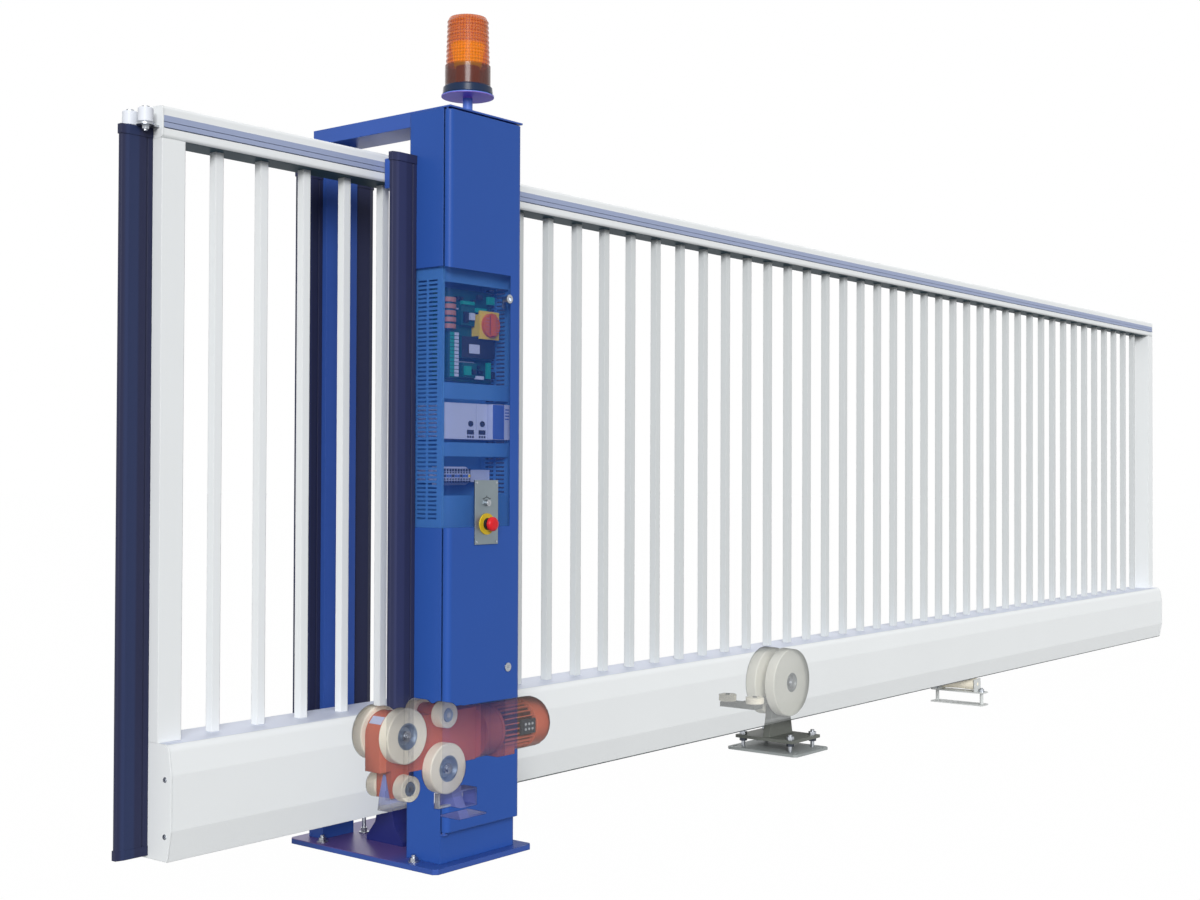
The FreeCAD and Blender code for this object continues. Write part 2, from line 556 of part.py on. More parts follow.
vent_rows.setExpression("Length", link("vent_pitch * (vent_count - 1)"))
vent_rows.setExpression("Occurrences", link("vent_count"))
vent_body.Tip = vent_rows
vent_body.setExpression("Placement.Base.x", link("-column_side"))
part("control_chassis", cut("Chassis", chassis_outer, chassis_inner, vent_body, *windows))

# Circuit board on standoffs, with its resistor bank, terminal block, contactor and relays
board_left = "-chassis_side + 2 * window_margin"
board_foot = "board_low + window_margin"
board_y = "chassis_inner - board_standoff"
board_face = f"{board_y} - board_thick"
board = block("Board", (board_left, f"{board_left} + board_wide"), (board_face, board_y),
              (board_foot, "board_high - window_margin"))
board_bits = [board]
for k, (u, w, v, t, d) in enumerate([(42, 36, 8, 132, 24), (84, 128, 66, 62, 30), (96, 56, 160, 62, 16),
                                     (100, 60, 12, 42, 18)]):
    board_bits.append(block(f"BoardBit{k}", (f"{board_left} + {u}", f"{board_left} + {u + w}"),
                            (f"{board_face} - {d}", board_face),
                            (f"{board_foot} + {v}", f"{board_foot} + {v + t}")))
bank_outline = [("0", "0")]
for k in range(5):
    bank_outline += [(f"{k} * bank_pitch", "bank_core"), (f"{k} * bank_pitch + 3", "bank_core"),
                     (f"{k} * bank_pitch + 3", "bank_radius"),
                     (f"{k} * bank_pitch + 15", "bank_radius"), (f"{k} * bank_pitch + 15", "bank_core")]
bank_outline += [("5 * bank_pitch", "bank_core"), ("5 * bank_pitch", "0")]
board_bits.append(turned("ResistorBank", bank_outline, "Z", "bank_x",
                         f"{board_face} - bank_core - bank_sink", "bank_low"))
board_rise = "board_high - board_low - 2 * window_margin - 6"
for k, (u, v) in enumerate([("6", "6"), ("board_wide - 6", "6"), ("6", board_rise),
                            ("board_wide - 6", board_rise)]):
    board_bits.append(rod(f"Standoff{k}", "3", "Y", (board_y, "chassis_inner"),
                          (f"{board_left} + {u}", f"{board_foot} + {v}")))
part("circuit_board", join("BoardLoaded", *board_bits))

# Two relay modules and a supply in the middle window
modules = []
for k, (u, w, proud) in enumerate([(0, 131, "0"), (133, 45, "0"), (182, 73, "supply_proud")]):
    modules.append(block(f"Module{k}", (f"{board_left} + {u}", f"{board_left} + {u + w}"),
                         (f"chassis_inner - module_deep - {proud}", "chassis_inner"),
                         ("relay_low + module_gap", "relay_high - module_gap")))
part("relay_modules", group("Modules", *modules))

# Terminal strip on its mounting rail
strip_z = "(terminal_low + terminal_high) / 2"
strip_y = "chassis_inner - strip_base"
din_rail = block("DinRail", ("-chassis_side + 2 * window_margin", "chassis_side - 2 * window_margin"),
                 ("chassis_inner - strip_base", "chassis_inner"),
                 (f"{strip_z} - rail_strip / 2", f"{strip_z} + rail_strip / 2"))
terminal = pad("Terminal", "YZ_Plane", [[
    (strip_y, f"{strip_z} - 26"), (strip_y, f"{strip_z} + 26"),
    (f"{strip_y} - terminal_deep * 0.6", f"{strip_z} + 26"),
    (f"{strip_y} - terminal_deep", f"{strip_z} + 14"),
    (f"{strip_y} - terminal_deep", f"{strip_z} - 14"),
    (f"{strip_y} - terminal_deep * 0.6", f"{strip_z} - 26"),
]], f"{board_left} + terminal_pitch", "terminal_wide")
terminal_rows = terminal.newObject("PartDesign::LinearPattern", "TerminalRow")
terminal_rows.Originals = [terminal.Tip]
terminal_rows.Direction = ([f for f in terminal.Origin.OriginFeatures if f.Role == "X_Axis"][0], [""])
terminal_rows.setExpression("Length", link("terminal_pitch * (terminal_count - 1)"))
terminal_rows.setExpression("Occurrences", link("terminal_count"))
terminal.Tip = terminal_rows
part("terminal_strip", join("TerminalStrip", din_rail, terminal))

# Main switch: a plate on a case from the circuit board, and a turning knob on its spindle
switch_case = block("SwitchCase",
                    ("switch_x - switch_plate / 2 + switch_lip", "switch_x + switch_plate / 2 - switch_lip"),
                    ("switch_face + switch_thick", board_face),
                    ("switch_height - switch_plate / 2 + switch_lip",
                     "switch_height + switch_plate / 2 - switch_lip"))
switch_plate = block("SwitchPlate", ("switch_x - switch_plate / 2", "switch_x + switch_plate / 2"),
                     ("switch_face", "switch_face + switch_thick"),
                     ("switch_height - switch_plate / 2", "switch_height + switch_plate / 2"))
spindle = rod("Spindle", "knob_pin", "Y", ("switch_face - knob_thick / 2", "switch_face"),
              ("switch_x", "switch_height"))
part("main_switch", join("MainSwitch", switch_case, switch_plate, spindle))
knob_disc = rod("KnobDisc", "knob_radius", "Y",
                ("switch_face - wheel_gap - knob_thick / 2", "switch_face - wheel_gap"),
                ("switch_x", "switch_height"))
knob_grip = block("KnobGrip", ("switch_x - knob_grip / 2", "switch_x + knob_grip / 2"),
                  ("switch_face - wheel_gap - knob_thick", "switch_face - wheel_gap"),
                  ("switch_height - knob_radius * 0.9", "switch_height + knob_radius * 0.9"))
knob_bore = rod("KnobBore", "knob_pin + running_fit", "Y",
                ("switch_face - knob_thick / 2 - running_fit", "switch_face + 1"),
                ("switch_x", "switch_height"))
part("switch_knob", cut("SwitchKnob", join("KnobBody", knob_disc, knob_grip), knob_bore))

# Lower beam: a hollow extrusion, creased on both flanks and open along a slot underneath
outer_half = [
    ("beam_foot_wide / 2", "leaf_clear"), ("beam_wide / 2", "leaf_clear + foot_crease"),
    ("beam_wide / 2", "leaf_clear + top_crease"), ("beam_top_wide / 2", "beam_top"),
]
inner_half = [
    ("slot_wide / 2", "inner_floor"), ("beam_foot_wide / 2 - beam_wall", "inner_floor"),
    ("beam_wide / 2 - beam_wall", "leaf_clear + foot_crease"),
    ("beam_wide / 2 - beam_wall", "leaf_clear + top_crease"),
    ("beam_top_wide / 2 - beam_wall", "inner_top - beam_wall"),
    ("beam_top_wide / 2 - 2 * beam_wall", "inner_top"),
]
outer_right = [(f"leaf_mid + {u}", v) for u, v in outer_half]
outer_left = [(f"leaf_mid - {u}", v) for u, v in outer_half]
inner_left = [(f"leaf_mid - ({u})", v) for u, v in inner_half]
inner_right = [(f"leaf_mid + ({u})", v) for u, v in inner_half]
beam_outline = (
    [("leaf_mid + slot_wide / 2", "leaf_clear")] + outer_right + outer_left[::-1]
    + [("leaf_mid - slot_wide / 2", "leaf_clear")] + inner_left + inner_right[::-1]
)
beam_start = "lead_x + end_plate"
beam_run = "leaf_length - 2 * end_plate"
shoulders = [("leaf_mid + beam_top_wide / 2", "beam_top"), ("leaf_mid - beam_top_wide / 2", "beam_top")]
beam = pad("LowerBeam", "YZ_Plane", [beam_outline], beam_start, beam_run)
part("lower_beam", rounded(beam, "shoulder_radius", shoulders))

# Top rail: a hollow box with a groove along its front for the guide strip
groove_low = "rail_low + strip_low"
groove_high = "rail_low + strip_low + strip_tall"
rail_back = "leaf_mid + rail_deep / 2"
rail_loops = [
    [("rail_front", "rail_low"), (rail_back, "rail_low"), (rail_back, "rail_top"), ("rail_front", "rail_top"),
     ("rail_front", groove_high), ("rail_front + strip_deep", groove_high),
     ("rail_front + strip_deep", groove_low),
     ("rail_front", groove_low)],
    oblong("rail_front + strip_deep + rail_wall", f"{rail_back} - rail_wall", "rail_low + rail_wall",
           "rail_top - rail_wall"),
]
rail = pad("TopRail", "YZ_Plane", rail_loops, beam_start, beam_run)
rail_corners = [(edge, height) for edge in ("rail_front", rail_back) for height in ("rail_low", "rail_top")]
part("top_rail", rounded(rail, "rail_round", rail_corners))

# Guide strip: a slitted channel in the rail's groove, with a narrow gap under it
strip_foot = f"{groove_low} + strip_gap"
slit_mid = "rail_low + strip_low + strip_tall / 2"
strip_outline = [
    ("rail_front", f"{slit_mid} + strip_slit / 2"), ("rail_front", groove_high),
    ("rail_front + strip_deep", groove_high),
    ("rail_front + strip_deep", strip_foot), ("rail_front", strip_foot),
    ("rail_front", f"{slit_mid} - strip_slit / 2"),
    ("rail_front + strip_wall", f"{slit_mid} - strip_slit / 2"),
    ("rail_front + strip_wall", f"{strip_foot} + strip_wall"),
    ("rail_front + strip_deep - strip_wall", f"{strip_foot} + strip_wall"),
    ("rail_front + strip_deep - strip_wall", f"{groove_high} - strip_wall"),
    ("rail_front + strip_wall", f"{groove_high} - strip_wall"),
    ("rail_front + strip_wall", f"{slit_mid} + strip_slit / 2"),
]
part("guide_strip", pad("GuideStrip", "YZ_Plane", [strip_outline], beam_start, beam_run))

# End plates of the beam and end caps of the rail
end_pieces = []
for tag, start in (("Lead", "lead_x"), ("Tail", "tail_end - end_plate")):
    cover = pad(f"BeamEnd{tag}", "YZ_Plane", [outer_right + outer_left[::-1]], start, "end_plate")
    end_pieces.append(rounded(cover, "shoulder_radius", shoulders))
    cap = pad(f"RailEnd{tag}", "YZ_Plane", [oblong("rail_front", rail_back, "rail_low", "rail_top")], start,
              "end_plate")
    end_pieces.append(rounded(cap, "rail_round", rail_corners))
part("end_plates", group("EndPlates", *end_pieces))

# End posts between beam and rail
posts = []
for tag, start in (("Lead", "lead_x"), ("Tail", "tail_end - end_post_long")):
    loops = [
        oblong(start, f"{start} + end_post_long", "leaf_mid - end_post_deep / 2",
               "leaf_mid + end_post_deep / 2"),
        oblong(f"{start} + end_post_wall", f"{start} + end_post_long - end_post_wall",
               "leaf_mid - end_post_deep / 2 + end_post_wall",
               "leaf_mid + end_post_deep / 2 - end_post_wall"),
    ]
    posts.append(pad(f"EndPost{tag}", "XY_Plane", loops, "beam_top", "rail_low - beam_top"))
part("end_posts", group("EndPosts", *posts))

# Upright bars at an even pitch between the posts
first_bar = "bar_first + bar_pitch - bar_size"
bars = pad("Bars", "XY_Plane", [oblong(first_bar, f"{first_bar} + bar_size", "leaf_mid - bar_size / 2",
                                       "leaf_mid + bar_size / 2")], "beam_top", "rail_low - beam_top")
bar_row = bars.newObject("PartDesign::LinearPattern", "BarRow")
bar_row.Originals = [bars.Tip]
bar_row.Direction = ([f for f in bars.Origin.OriginFeatures if f.Role == "X_Axis"][0], [""])
bar_row.setExpression("Length", link("bar_pitch * (bar_count - 1)"))
bar_row.setExpression("Occurrences", link("bar_count"))
bars.Tip = bar_row
part("bars", bars)

# Rubber nose on the leading post
part("nose_edge", safety_edge("NoseEdge", 90, "lead_x", "leaf_mid", "nose_low", "nose_top"))

# Bracket with two upright guide rollers at the leading end
plate_low = "nose_top"
bracket = block("NosePlate", ("nose_x", "lead_x"),
                ("leaf_mid - bracket_wide / 2", "leaf_mid + bracket_wide / 2"),
                (plate_low, f"{plate_low} + bracket_thick"))
bracket_bits = [bracket]
for tag, sign in (("Front", "-"), ("Rear", "+")):
    spot = ("nose_x", f"leaf_mid {sign} nose_roller_spread / 2")
    bracket_bits.append(rod(f"NoseLobe{tag}", "bracket_lobe", "Z",
                            (plate_low, f"{plate_low} + bracket_thick"), spot))
    bracket_bits.append(rod(f"NosePin{tag}", "nose_pin", "Z",
                            (plate_low, "roller_low + nose_roller_tall + nose_head + 1"), spot))
    bracket_bits.append(rod(f"NoseShim{tag}", "nose_pin + 3", "Z", (plate_low, "roller_low - wheel_gap"),
                            spot))
    head_low = "roller_low + nose_roller_tall + 1"
    bracket_bits.append(rod(f"NoseHead{tag}", "nose_pin + 4", "Z", (head_low, f"{head_low} + nose_head"), spot))
part("nose_bracket", join("NoseBracket", *bracket_bits))
for tag, sign in (("front", "-"), ("rear", "+")):
    bore = "nose_pin + running_fit"
    outline = [
        ("0", bore), ("0", "nose_roller_radius - 2"), ("2", "nose_roller_radius"),
        ("nose_roller_tall - 2", "nose_roller_radius"), ("nose_roller_tall", "nose_roller_radius - 2"),
        ("nose_roller_tall", bore),
    ]
    roller = turned(f"NoseRoller{tag}", outline, "Z", "nose_x", f"leaf_mid {sign} nose_roller_spread / 2",
                    "roller_low")
    part(f"nose_roller_{tag}", roller)


def tyre_pair(name, radius, inner, width, hub, x, z):
    """Two plastic wheels on one line, each with bevelled rims."""
    wheels = []
    for tag, start in (("Front", f"-({inner}) - ({width})"), ("Rear", f"{inner}")):
        outline = [
            ("0", hub), ("0", f"{radius} - tyre_bevel"), ("tyre_bevel", radius),
            (f"{width} - tyre_bevel", radius),
            (width, f"{radius} - tyre_bevel"), (width, hub),
        ]
        wheels.append(turned(name + tag, outline, "Y", x, f"leaf_mid + ({start})", z))
    return group(name, *wheels)


def axle(name, hub, inner, width, shaft, x, z):
    """A shaft with a dished hub in each wheel."""
    outer = f"({inner}) + ({width})"
    half = [(inner, shaft), (inner, hub), (outer, hub), (outer, f"{hub} - hub_rim"),
            (f"{outer} - hub_dish", "hub_floor"),
            (f"{outer} - hub_dish", shaft), (f"{outer} - hub_sink", shaft), (f"{outer} - hub_sink", "0")]
    mirror = [(f"-({u})", v) for u, v in reversed(half)]
    return turned(name, mirror + half, "Y", x, "leaf_mid", z)


# Drive wheels under the beam's top wall, support wheels on its lips
part("drive_wheels", tyre_pair("DriveWheels", "drive_radius", "wheel_inner", "tyre_wide", "hub_radius",
                               "drive_x", "drive_z"))
part("drive_axle", axle("DriveAxle", "hub_radius", "wheel_inner", "tyre_wide", "axle_radius", "drive_x",
                        "drive_z"))
part("support_wheels", tyre_pair("SupportWheels", "support_radius", "wheel_inner", "tyre_wide", "hub_radius",
                                 "support_x", "support_z"))
part("support_axle", axle("SupportAxle", "hub_radius", "wheel_inner", "tyre_wide", "axle_radius",
                          "support_x", "support_z"))


def small_pair(name, x, z):
    """Two small rollers on one shaft."""
    half = [("wheel_inner", "pin_radius"), ("wheel_inner", "small_radius - 2"),
            ("wheel_inner + 2", "small_radius"),
            ("wheel_outer - 2", "small_radius"), ("wheel_outer", "small_radius - 2"),
            ("wheel_outer", "small_hub"),
            ("wheel_outer - small_dish", "small_hub - 3"), ("wheel_outer - small_dish", "pin_radius"),
            ("wheel_outer - 2", "pin_radius"), ("wheel_outer - 2", "0")]
    mirror = [(f"-({u})", v) for u, v in reversed(half)]
    return turned(name, mirror + half, "Y", x, "leaf_mid", z)


part("high_rollers", small_pair("HighRollers", "support_x", "high_roller_z"))
part("low_rollers", small_pair("LowRollers", "low_roller_x", "low_roller_z"))

# Gearbox: a flat casting between the wheels with a barrel round the drive axle and a clevis below
gear_y = ("leaf_mid - gear_half", "leaf_mid + gear_half")
barrel_a = rod("GearBarrel", "gear_barrel", "Y", gear_y, ("drive_x", "drive_z"))
gear_body = block("GearBody", ("drive_x", "gear_end"), gear_y, ("gear_low", "gear_high"))
gear_nose = block("GearNose", ("drive_x - gear_barrel", "drive_x + 1"), gear_y, ("gear_nose_low", "drive_z"))
boss_b = rod("GearBoss", "hub_radius + 14", "Y", gear_y, ("support_x", "support_z"))
boss_top = rod("GearTopBoss", "small_radius - 8", "Y", gear_y, ("support_x", "high_roller_z"))
cheeks = []
for tag, sign in (("Front", "-"), ("Rear", "+")):
    cheeks.append(pad(f"Cheek{tag}", "YZ_Plane", [[
        (f"leaf_mid {sign} gear_half", "clevis_low"), (f"leaf_mid {sign} clevis_inner", "clevis_low"),
        (f"leaf_mid {sign} clevis_peak", "gear_low"), (f"leaf_mid {sign} clevis_peak", "drive_z"),
        (f"leaf_mid {sign} gear_half", "drive_z"),
    ]], "low_roller_x - clevis_long / 2", "clevis_long"))
bores = []
for tag, radius, x, z in (("A", "axle_radius", "drive_x", "drive_z"),
                          ("B", "axle_radius", "support_x", "support_z"),
                          ("C", "pin_radius", "support_x", "high_roller_z"),
                          ("D", "pin_radius", "low_roller_x", "low_roller_z")):
    bores.append(rod(f"GearBore{tag}", f"{radius} + running_fit", "Y",
                     ("leaf_mid - gear_half - 1", "leaf_mid + gear_half + 1"), (x, z)))
part("gearbox", cut("Gearbox",
                    join("GearCasting", barrel_a, gear_body, gear_nose, boss_b, boss_top, *cheeks), *bores))

# Stand under the clevis and prop under the gearbox, both on the base plate
tongue = pad("StandPlate", "YZ_Plane", [both_sides([
    ("clevis_peak", "gear_low"), ("clevis_inner", "clevis_low"), ("stand_neck / 2", "leaf_clear - 10"),
    ("0.7 * stand_neck", "(leaf_clear + base_thick) / 2"), ("stand_foot / 2", "base_thick + foot_thick"),
    ("stand_foot / 2", "base_thick"),
][::-1], "leaf_mid")], "low_roller_x - stand_long / 2", "stand_long")
stand_bore = rod("StandBore", "pin_radius + running_fit", "Y",
                 ("leaf_mid - stand_foot / 2", "leaf_mid + stand_foot / 2"),
                 ("low_roller_x", "low_roller_z"))
prop = pad("PropPlate", "YZ_Plane", [both_sides([
    ("stand_foot / 2", "base_thick"), ("stand_foot / 2", "base_thick + foot_thick"),
    ("stand_neck / 2", "leaf_clear - 10"),
    ("stand_neck / 2", "gear_low"),
], "leaf_mid")], "prop_x - prop_long / 2", "prop_long")
prop_side = "prop_x + prop_long / 2"
shelf = block("PropShelf", ("prop_x", f"{prop_side} + shelf_long"),
              ("leaf_mid - shelf_wide / 2", "leaf_mid + shelf_wide / 2"),
              ("shelf_low", "shelf_low + shelf_thick"))
channel_y = ("leaf_mid - stand_neck / 2", "leaf_mid + stand_neck / 2")
channel_outer = block("PropChannel", (prop_side, f"{prop_side} + channel_long"), channel_y,
                      ("channel_low", "channel_low + channel_tall"))
channel_inner = block("PropChannelBore",
                      (f"{prop_side} + channel_wall", f"{prop_side} + channel_long - channel_wall"),
                      ("leaf_mid - stand_neck", "leaf_mid + stand_neck"),
                      ("channel_low + channel_wall", "channel_low + channel_tall - channel_wall"))
prop_bracket = join("PropBracket", prop, shelf, cut("PropChannelBored", channel_outer, channel_inner))
part("drive_stand", group("DriveStand", cut("StandBored", tongue, stand_bore), prop_bracket))

# Motor: flange, round case with fins along it, and a terminal box underneath
motor_body = doc.addObject("PartDesign::Body", "MotorCase")
case_outline = [
    ("0", "0"), ("0", "flange_radius"), ("flange_thick", "flange_radius"),
    ("flange_thick", "flange_radius - 3"),
    ("bell_long - bell_lip - bell_round", "flange_radius - 3"),
    ("bell_long - bell_lip", "flange_radius - bell_round"),
    ("bell_long - bell_lip", "flange_radius - 4"), ("bell_long", "flange_radius - 4"),
    ("bell_long", "motor_radius"),
    ("motor_long", "motor_radius"), ("motor_long", "0"),
]
case_sketch = sketch_on(motor_body, "XY_Plane", [case_outline])
case_turn = motor_body.newObject("PartDesign::Revolution", "MotorTurn")
case_turn.Profile = case_sketch
case_turn.ReferenceAxis = (case_sketch, ["H_Axis"])
case_turn.Angle = 360
fin_sketch = sketch_on(motor_body, "XY_Plane",
                       [oblong("motor_long - fin_long", "motor_long - 6", "motor_radius - 4",
                                                       "motor_radius + fin_tall")])
fin_pad = motor_body.newObject("PartDesign::Pad", "FinPad")
fin_pad.Profile = fin_sketch
fin_pad.Midplane = True
fin_pad.setExpression("Length", link("fin_thick"))
fin_ring = motor_body.newObject("PartDesign::PolarPattern", "FinRing")
fin_ring.Originals = [fin_pad]
fin_ring.Axis = ([f for f in motor_body.Origin.OriginFeatures if f.Role == "X_Axis"][0], [""])
fin_ring.Angle = 360
fin_ring.setExpression("Occurrences", link("fin_count"))
motor_body.Tip = fin_ring
place(motor_body, "gear_end", "leaf_mid", "motor_height")
box_x = "gear_end + box_start"
motor_box = block("MotorBox", (box_x, f"{box_x} + box_long"),
                  ("leaf_mid - box_wide / 2", "leaf_mid + box_wide / 2"),
                  ("motor_height - motor_radius - box_tall", "motor_height - motor_radius / 2"))
part("motor", join("Motor", motor_body, motor_box))
fan_outline = [("0", "0"), ("0", "fan_radius")]
for k in range(7):
    out = math.sin(math.pi * k / 12)
    drop = 1.1 - 1.1 * math.cos(math.pi * k / 12)
    fan_outline.append((f"fan_long - {1 - out:.4f} * fan_dome", f"fan_radius - {drop:.4f} * fan_dome"))
fan_outline += [
    ("fan_long", "fan_radius * 0.62"), ("fan_long - 4", "fan_radius * 0.6"),
    ("fan_long - 4", "fan_radius * 0.45"), ("fan_long", "fan_radius * 0.43"),
    ("fan_long", "fan_radius * 0.28"),
    ("fan_long - 4", "fan_radius * 0.26"), ("fan_long - 4", "fan_radius * 0.12"),
    ("fan_long", "fan_radius * 0.1"), ("fan_long", "0"),
]
part("fan_cover", turned("FanCover", fan_outline, "X", "gear_end + motor_long", "leaf_mid", "motor_height"))

# Roller block: twin wheels on an axle in a cast stand that stands on four studs
part("twin_wheels", tyre_pair("TwinWheels", "twin_radius", "twin_inner", "twin_wide", "twin_hub", "twin_x",
                              "twin_z"))
part("twin_axle", axle("TwinAxle", "twin_hub", "twin_inner", "twin_wide", "axle_radius", "twin_x", "twin_z"))
block_y = ("leaf_mid - block_half", "leaf_mid + block_half")
plate_high = "block_plate_low + block_plate_thick"
web = pad("BlockWeb", "XZ_Plane", [[
    ("twin_x - block_foot / 2", plate_high), ("twin_x + block_foot / 2", plate_high),
    ("twin_x + block_boss", "twin_z"), ("twin_x - block_boss", "twin_z"),
]], block_y[0], "2 * block_half")
boss = rod("BlockBoss", "block_boss", "Y", block_y, ("twin_x", "twin_z"))
arm = block("BlockArm", ("side_x - arm_long / 2", "twin_x"), block_y,
            ("side_height - arm_thick", "side_height"))
arm_head = block("BlockArmHead", ("side_x - arm_long / 2", "side_x + arm_long / 2"),
                 ("leaf_mid - arm_reach", "leaf_mid + arm_reach"), ("side_height - arm_thick", "side_height"))
side_pins = []
for tag, sign in (("Front", "-"), ("Rear", "+")):
    spot = ("side_x", f"leaf_mid {sign} side_off")
    side_pins.append(rod(f"SidePin{tag}", "side_pin", "Z",
                         ("side_height - arm_thick", "side_height + side_tall + 4"), spot))
level_plate = block("LevelPlate", ("twin_x - block_plate_long / 2", "twin_x + block_plate_long / 2"),
                    ("leaf_mid - block_plate_wide / 2", "leaf_mid + block_plate_wide / 2"),
                    ("block_plate_low", plate_high))
axle_bore = rod("BlockBore", "axle_radius + running_fit", "Y",
                ("leaf_mid - block_half - 1", "leaf_mid + block_half + 1"),
                ("twin_x", "twin_z"))
stud_holes = []
studs = []
for k, (sign_x, sign_y) in enumerate([("-", "-"), ("-", "+"), ("+", "-"), ("+", "+")]):
    spot = (f"twin_x {sign_x} (block_plate_long / 2 - stud_inset)",
            f"leaf_mid {sign_y} (block_plate_wide / 2 - stud_inset)")
    stud_holes.append(rod(f"StudHole{k}", "stud_radius", "Z", ("block_plate_low - 1", f"{plate_high} + 1"),
                          spot))
    stud = rod(f"Stud{k}", "stud_radius", "Z", ("block_base_thick", f"{plate_high} + nut_tall + 8"), spot)
    nuts = [rod(f"NutHigh{k}", "nut_radius", "Z", (plate_high, f"{plate_high} + nut_tall"), spot),
            rod(f"NutLow{k}", "nut_radius", "Z", ("block_plate_low - nut_tall", "block_plate_low"), spot)]
    studs.append(join(f"StudSet{k}", stud, *nuts))
block_casting = join("BlockCasting", web, boss, arm, arm_head, level_plate, *side_pins)
part("block_stand", cut("BlockStand", block_casting, axle_bore, *stud_holes))
part("block_studs", group("BlockStuds", *studs))
base_slots = []
for k, (sign_x, sign_y) in enumerate([("-", "-"), ("-", "+"), ("+", "-"), ("+", "+")]):
    slot_x = f"twin_x {sign_x} (block_base_long / 2 - base_slot_inset)"
    slot_y = f"leaf_mid {sign_y} (block_base_wide / 2 - base_slot_inset / 2)"
    base_slots.append(block(f"BaseSlot{k}",
                            (f"{slot_x} - base_slot_long / 2", f"{slot_x} + base_slot_long / 2"),
                            (f"{slot_y} - base_slot_wide / 2", f"{slot_y} + base_slot_wide / 2"),
                            ("-1", "block_base_thick + 1")))
foot_slab = pad("BlockBase", "XY_Plane", [[
    ("twin_x - block_base_long / 2 + base_corner", "leaf_mid - block_base_wide / 2"),
    ("twin_x + block_base_long / 2 - base_corner", "leaf_mid - block_base_wide / 2"),
    ("twin_x + block_base_long / 2", "leaf_mid - block_base_wide / 2 + base_corner"),
    ("twin_x + block_base_long / 2", "leaf_mid + block_base_wide / 2 - base_corner"),
    ("twin_x + block_base_long / 2 - base_corner", "leaf_mid + block_base_wide / 2"),
    ("twin_x - block_base_long / 2 + base_corner", "leaf_mid + block_base_wide / 2"),
    ("twin_x - block_base_long / 2", "leaf_mid + block_base_wide / 2 - base_corner"),
    ("twin_x - block_base_long / 2", "leaf_mid - block_base_wide / 2 + base_corner"),
]], "0", "block_base_thick")
part("block_base", cut("BlockBaseSlotted", foot_slab, *base_slots))
for tag, sign in (("front", "-"), ("rear", "+")):
    bore = "side_pin + running_fit"
    outline = [("wheel_gap", bore), ("wheel_gap", "side_radius - 2"), ("2 + wheel_gap", "side_radius"),
               ("side_tall - 2", "side_radius"), ("side_tall", "side_radius - 2"), ("side_tall", bore)]
    part(f"side_roller_{tag}",
         turned(f"SideRoller{tag}", outline, "Z", "side_x", f"leaf_mid {sign} side_off", "side_height"))

# Tail roller in a bent bracket on its base bar
tail_half = "tail_long / 2"
ear = "tail_long / 2 + tail_clear"
bracket_low = "tail_z - tail_radius - tail_clear - tail_sheet"
bracket_outline = both_sides([
    ("tail_base_wide / 2", bracket_low), ("tail_base_wide / 2", f"{bracket_low} + tail_sheet"),
    (f"{ear} + tail_sheet", f"{bracket_low} + tail_sheet"), (f"{ear} + tail_sheet", "tail_z + 3 * tail_pin"),
    (ear, "tail_z + 3 * tail_pin"), (ear, f"{bracket_low} + tail_sheet"),
], "leaf_mid")
tail_cradle = pad("TailBracket", "YZ_Plane", [bracket_outline], "tail_x - tail_ear", "2 * tail_ear")
tail_bores = rod("TailBores", "tail_pin + running_fit", "Y",
                 ("leaf_mid - tail_base_wide / 2", "leaf_mid + tail_base_wide / 2"),
                 ("tail_x", "tail_z"))
part("tail_bracket", cut("TailBored", tail_cradle, tail_bores))
tail_base = block("TailBar", ("tail_x - tail_base_long / 2", "tail_x + tail_base_long / 2"),
                  ("leaf_mid - tail_base_wide / 2", "leaf_mid + tail_base_wide / 2"),
                  ("0", "tail_base_thick"))
tail_posts = []
for tag, sign in (("Front", "-"), ("Rear", "+")):
    spot = ("tail_x", f"leaf_mid {sign} (tail_base_wide / 2 - 18)")
    tail_posts.append(rod(f"TailPost{tag}", "stud_radius", "Z", ("0", bracket_low), spot))
part("tail_base", join("TailBase", tail_base, *tail_posts))
tail_half_outline = [
    (f"-({ear} + tail_sheet)", "0"), (f"-({ear} + tail_sheet)", "tail_pin"), (f"-({tail_half})", "tail_pin"),
    (f"-({tail_half})", "tail_radius"), ("0", "tail_waist"),
    (tail_half, "tail_radius"), (tail_half, "tail_pin"), (f"{ear} + tail_sheet", "tail_pin"),
    (f"{ear} + tail_sheet", "0"),
]
part("tail_roller", turned("TailRoller", tail_half_outline, "Y", "tail_x", "leaf_mid", "tail_z"))

doc.recompute()
failed = [thing.Name for thing in doc.Objects if {"Invalid", "Error"} & set(thing.State)]
if failed:
    raise RuntimeError(f"these objects failed to build: {failed}")
for thing in PARTS:
    if thing.Shape.isNull() or not thing.Shape.isValid():
        raise RuntimeError(f"{thing.Label} has no valid shape")

os.makedirs("parts", exist_ok=True)
for thing in PARTS:
    thing.Shape.exportStep(f"parts/{thing.Label}.step")
    print(thing.Label, len(thing.Shape.Solids), round(thing.Shape.Volume / 1000, 1))
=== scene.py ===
# %% [markdown]
# # A sliding driveway gate
# The gate hangs on a hollow white beam that runs over wheels. A blue portal stands at one end and holds the
# drive, and a roller block and a tail roller stand further along. The imported model comes first, because
# every later piece takes its place from it.

# %% Load the imported model
import math

import bmesh
import bpy
from mathutils import Matrix, Vector


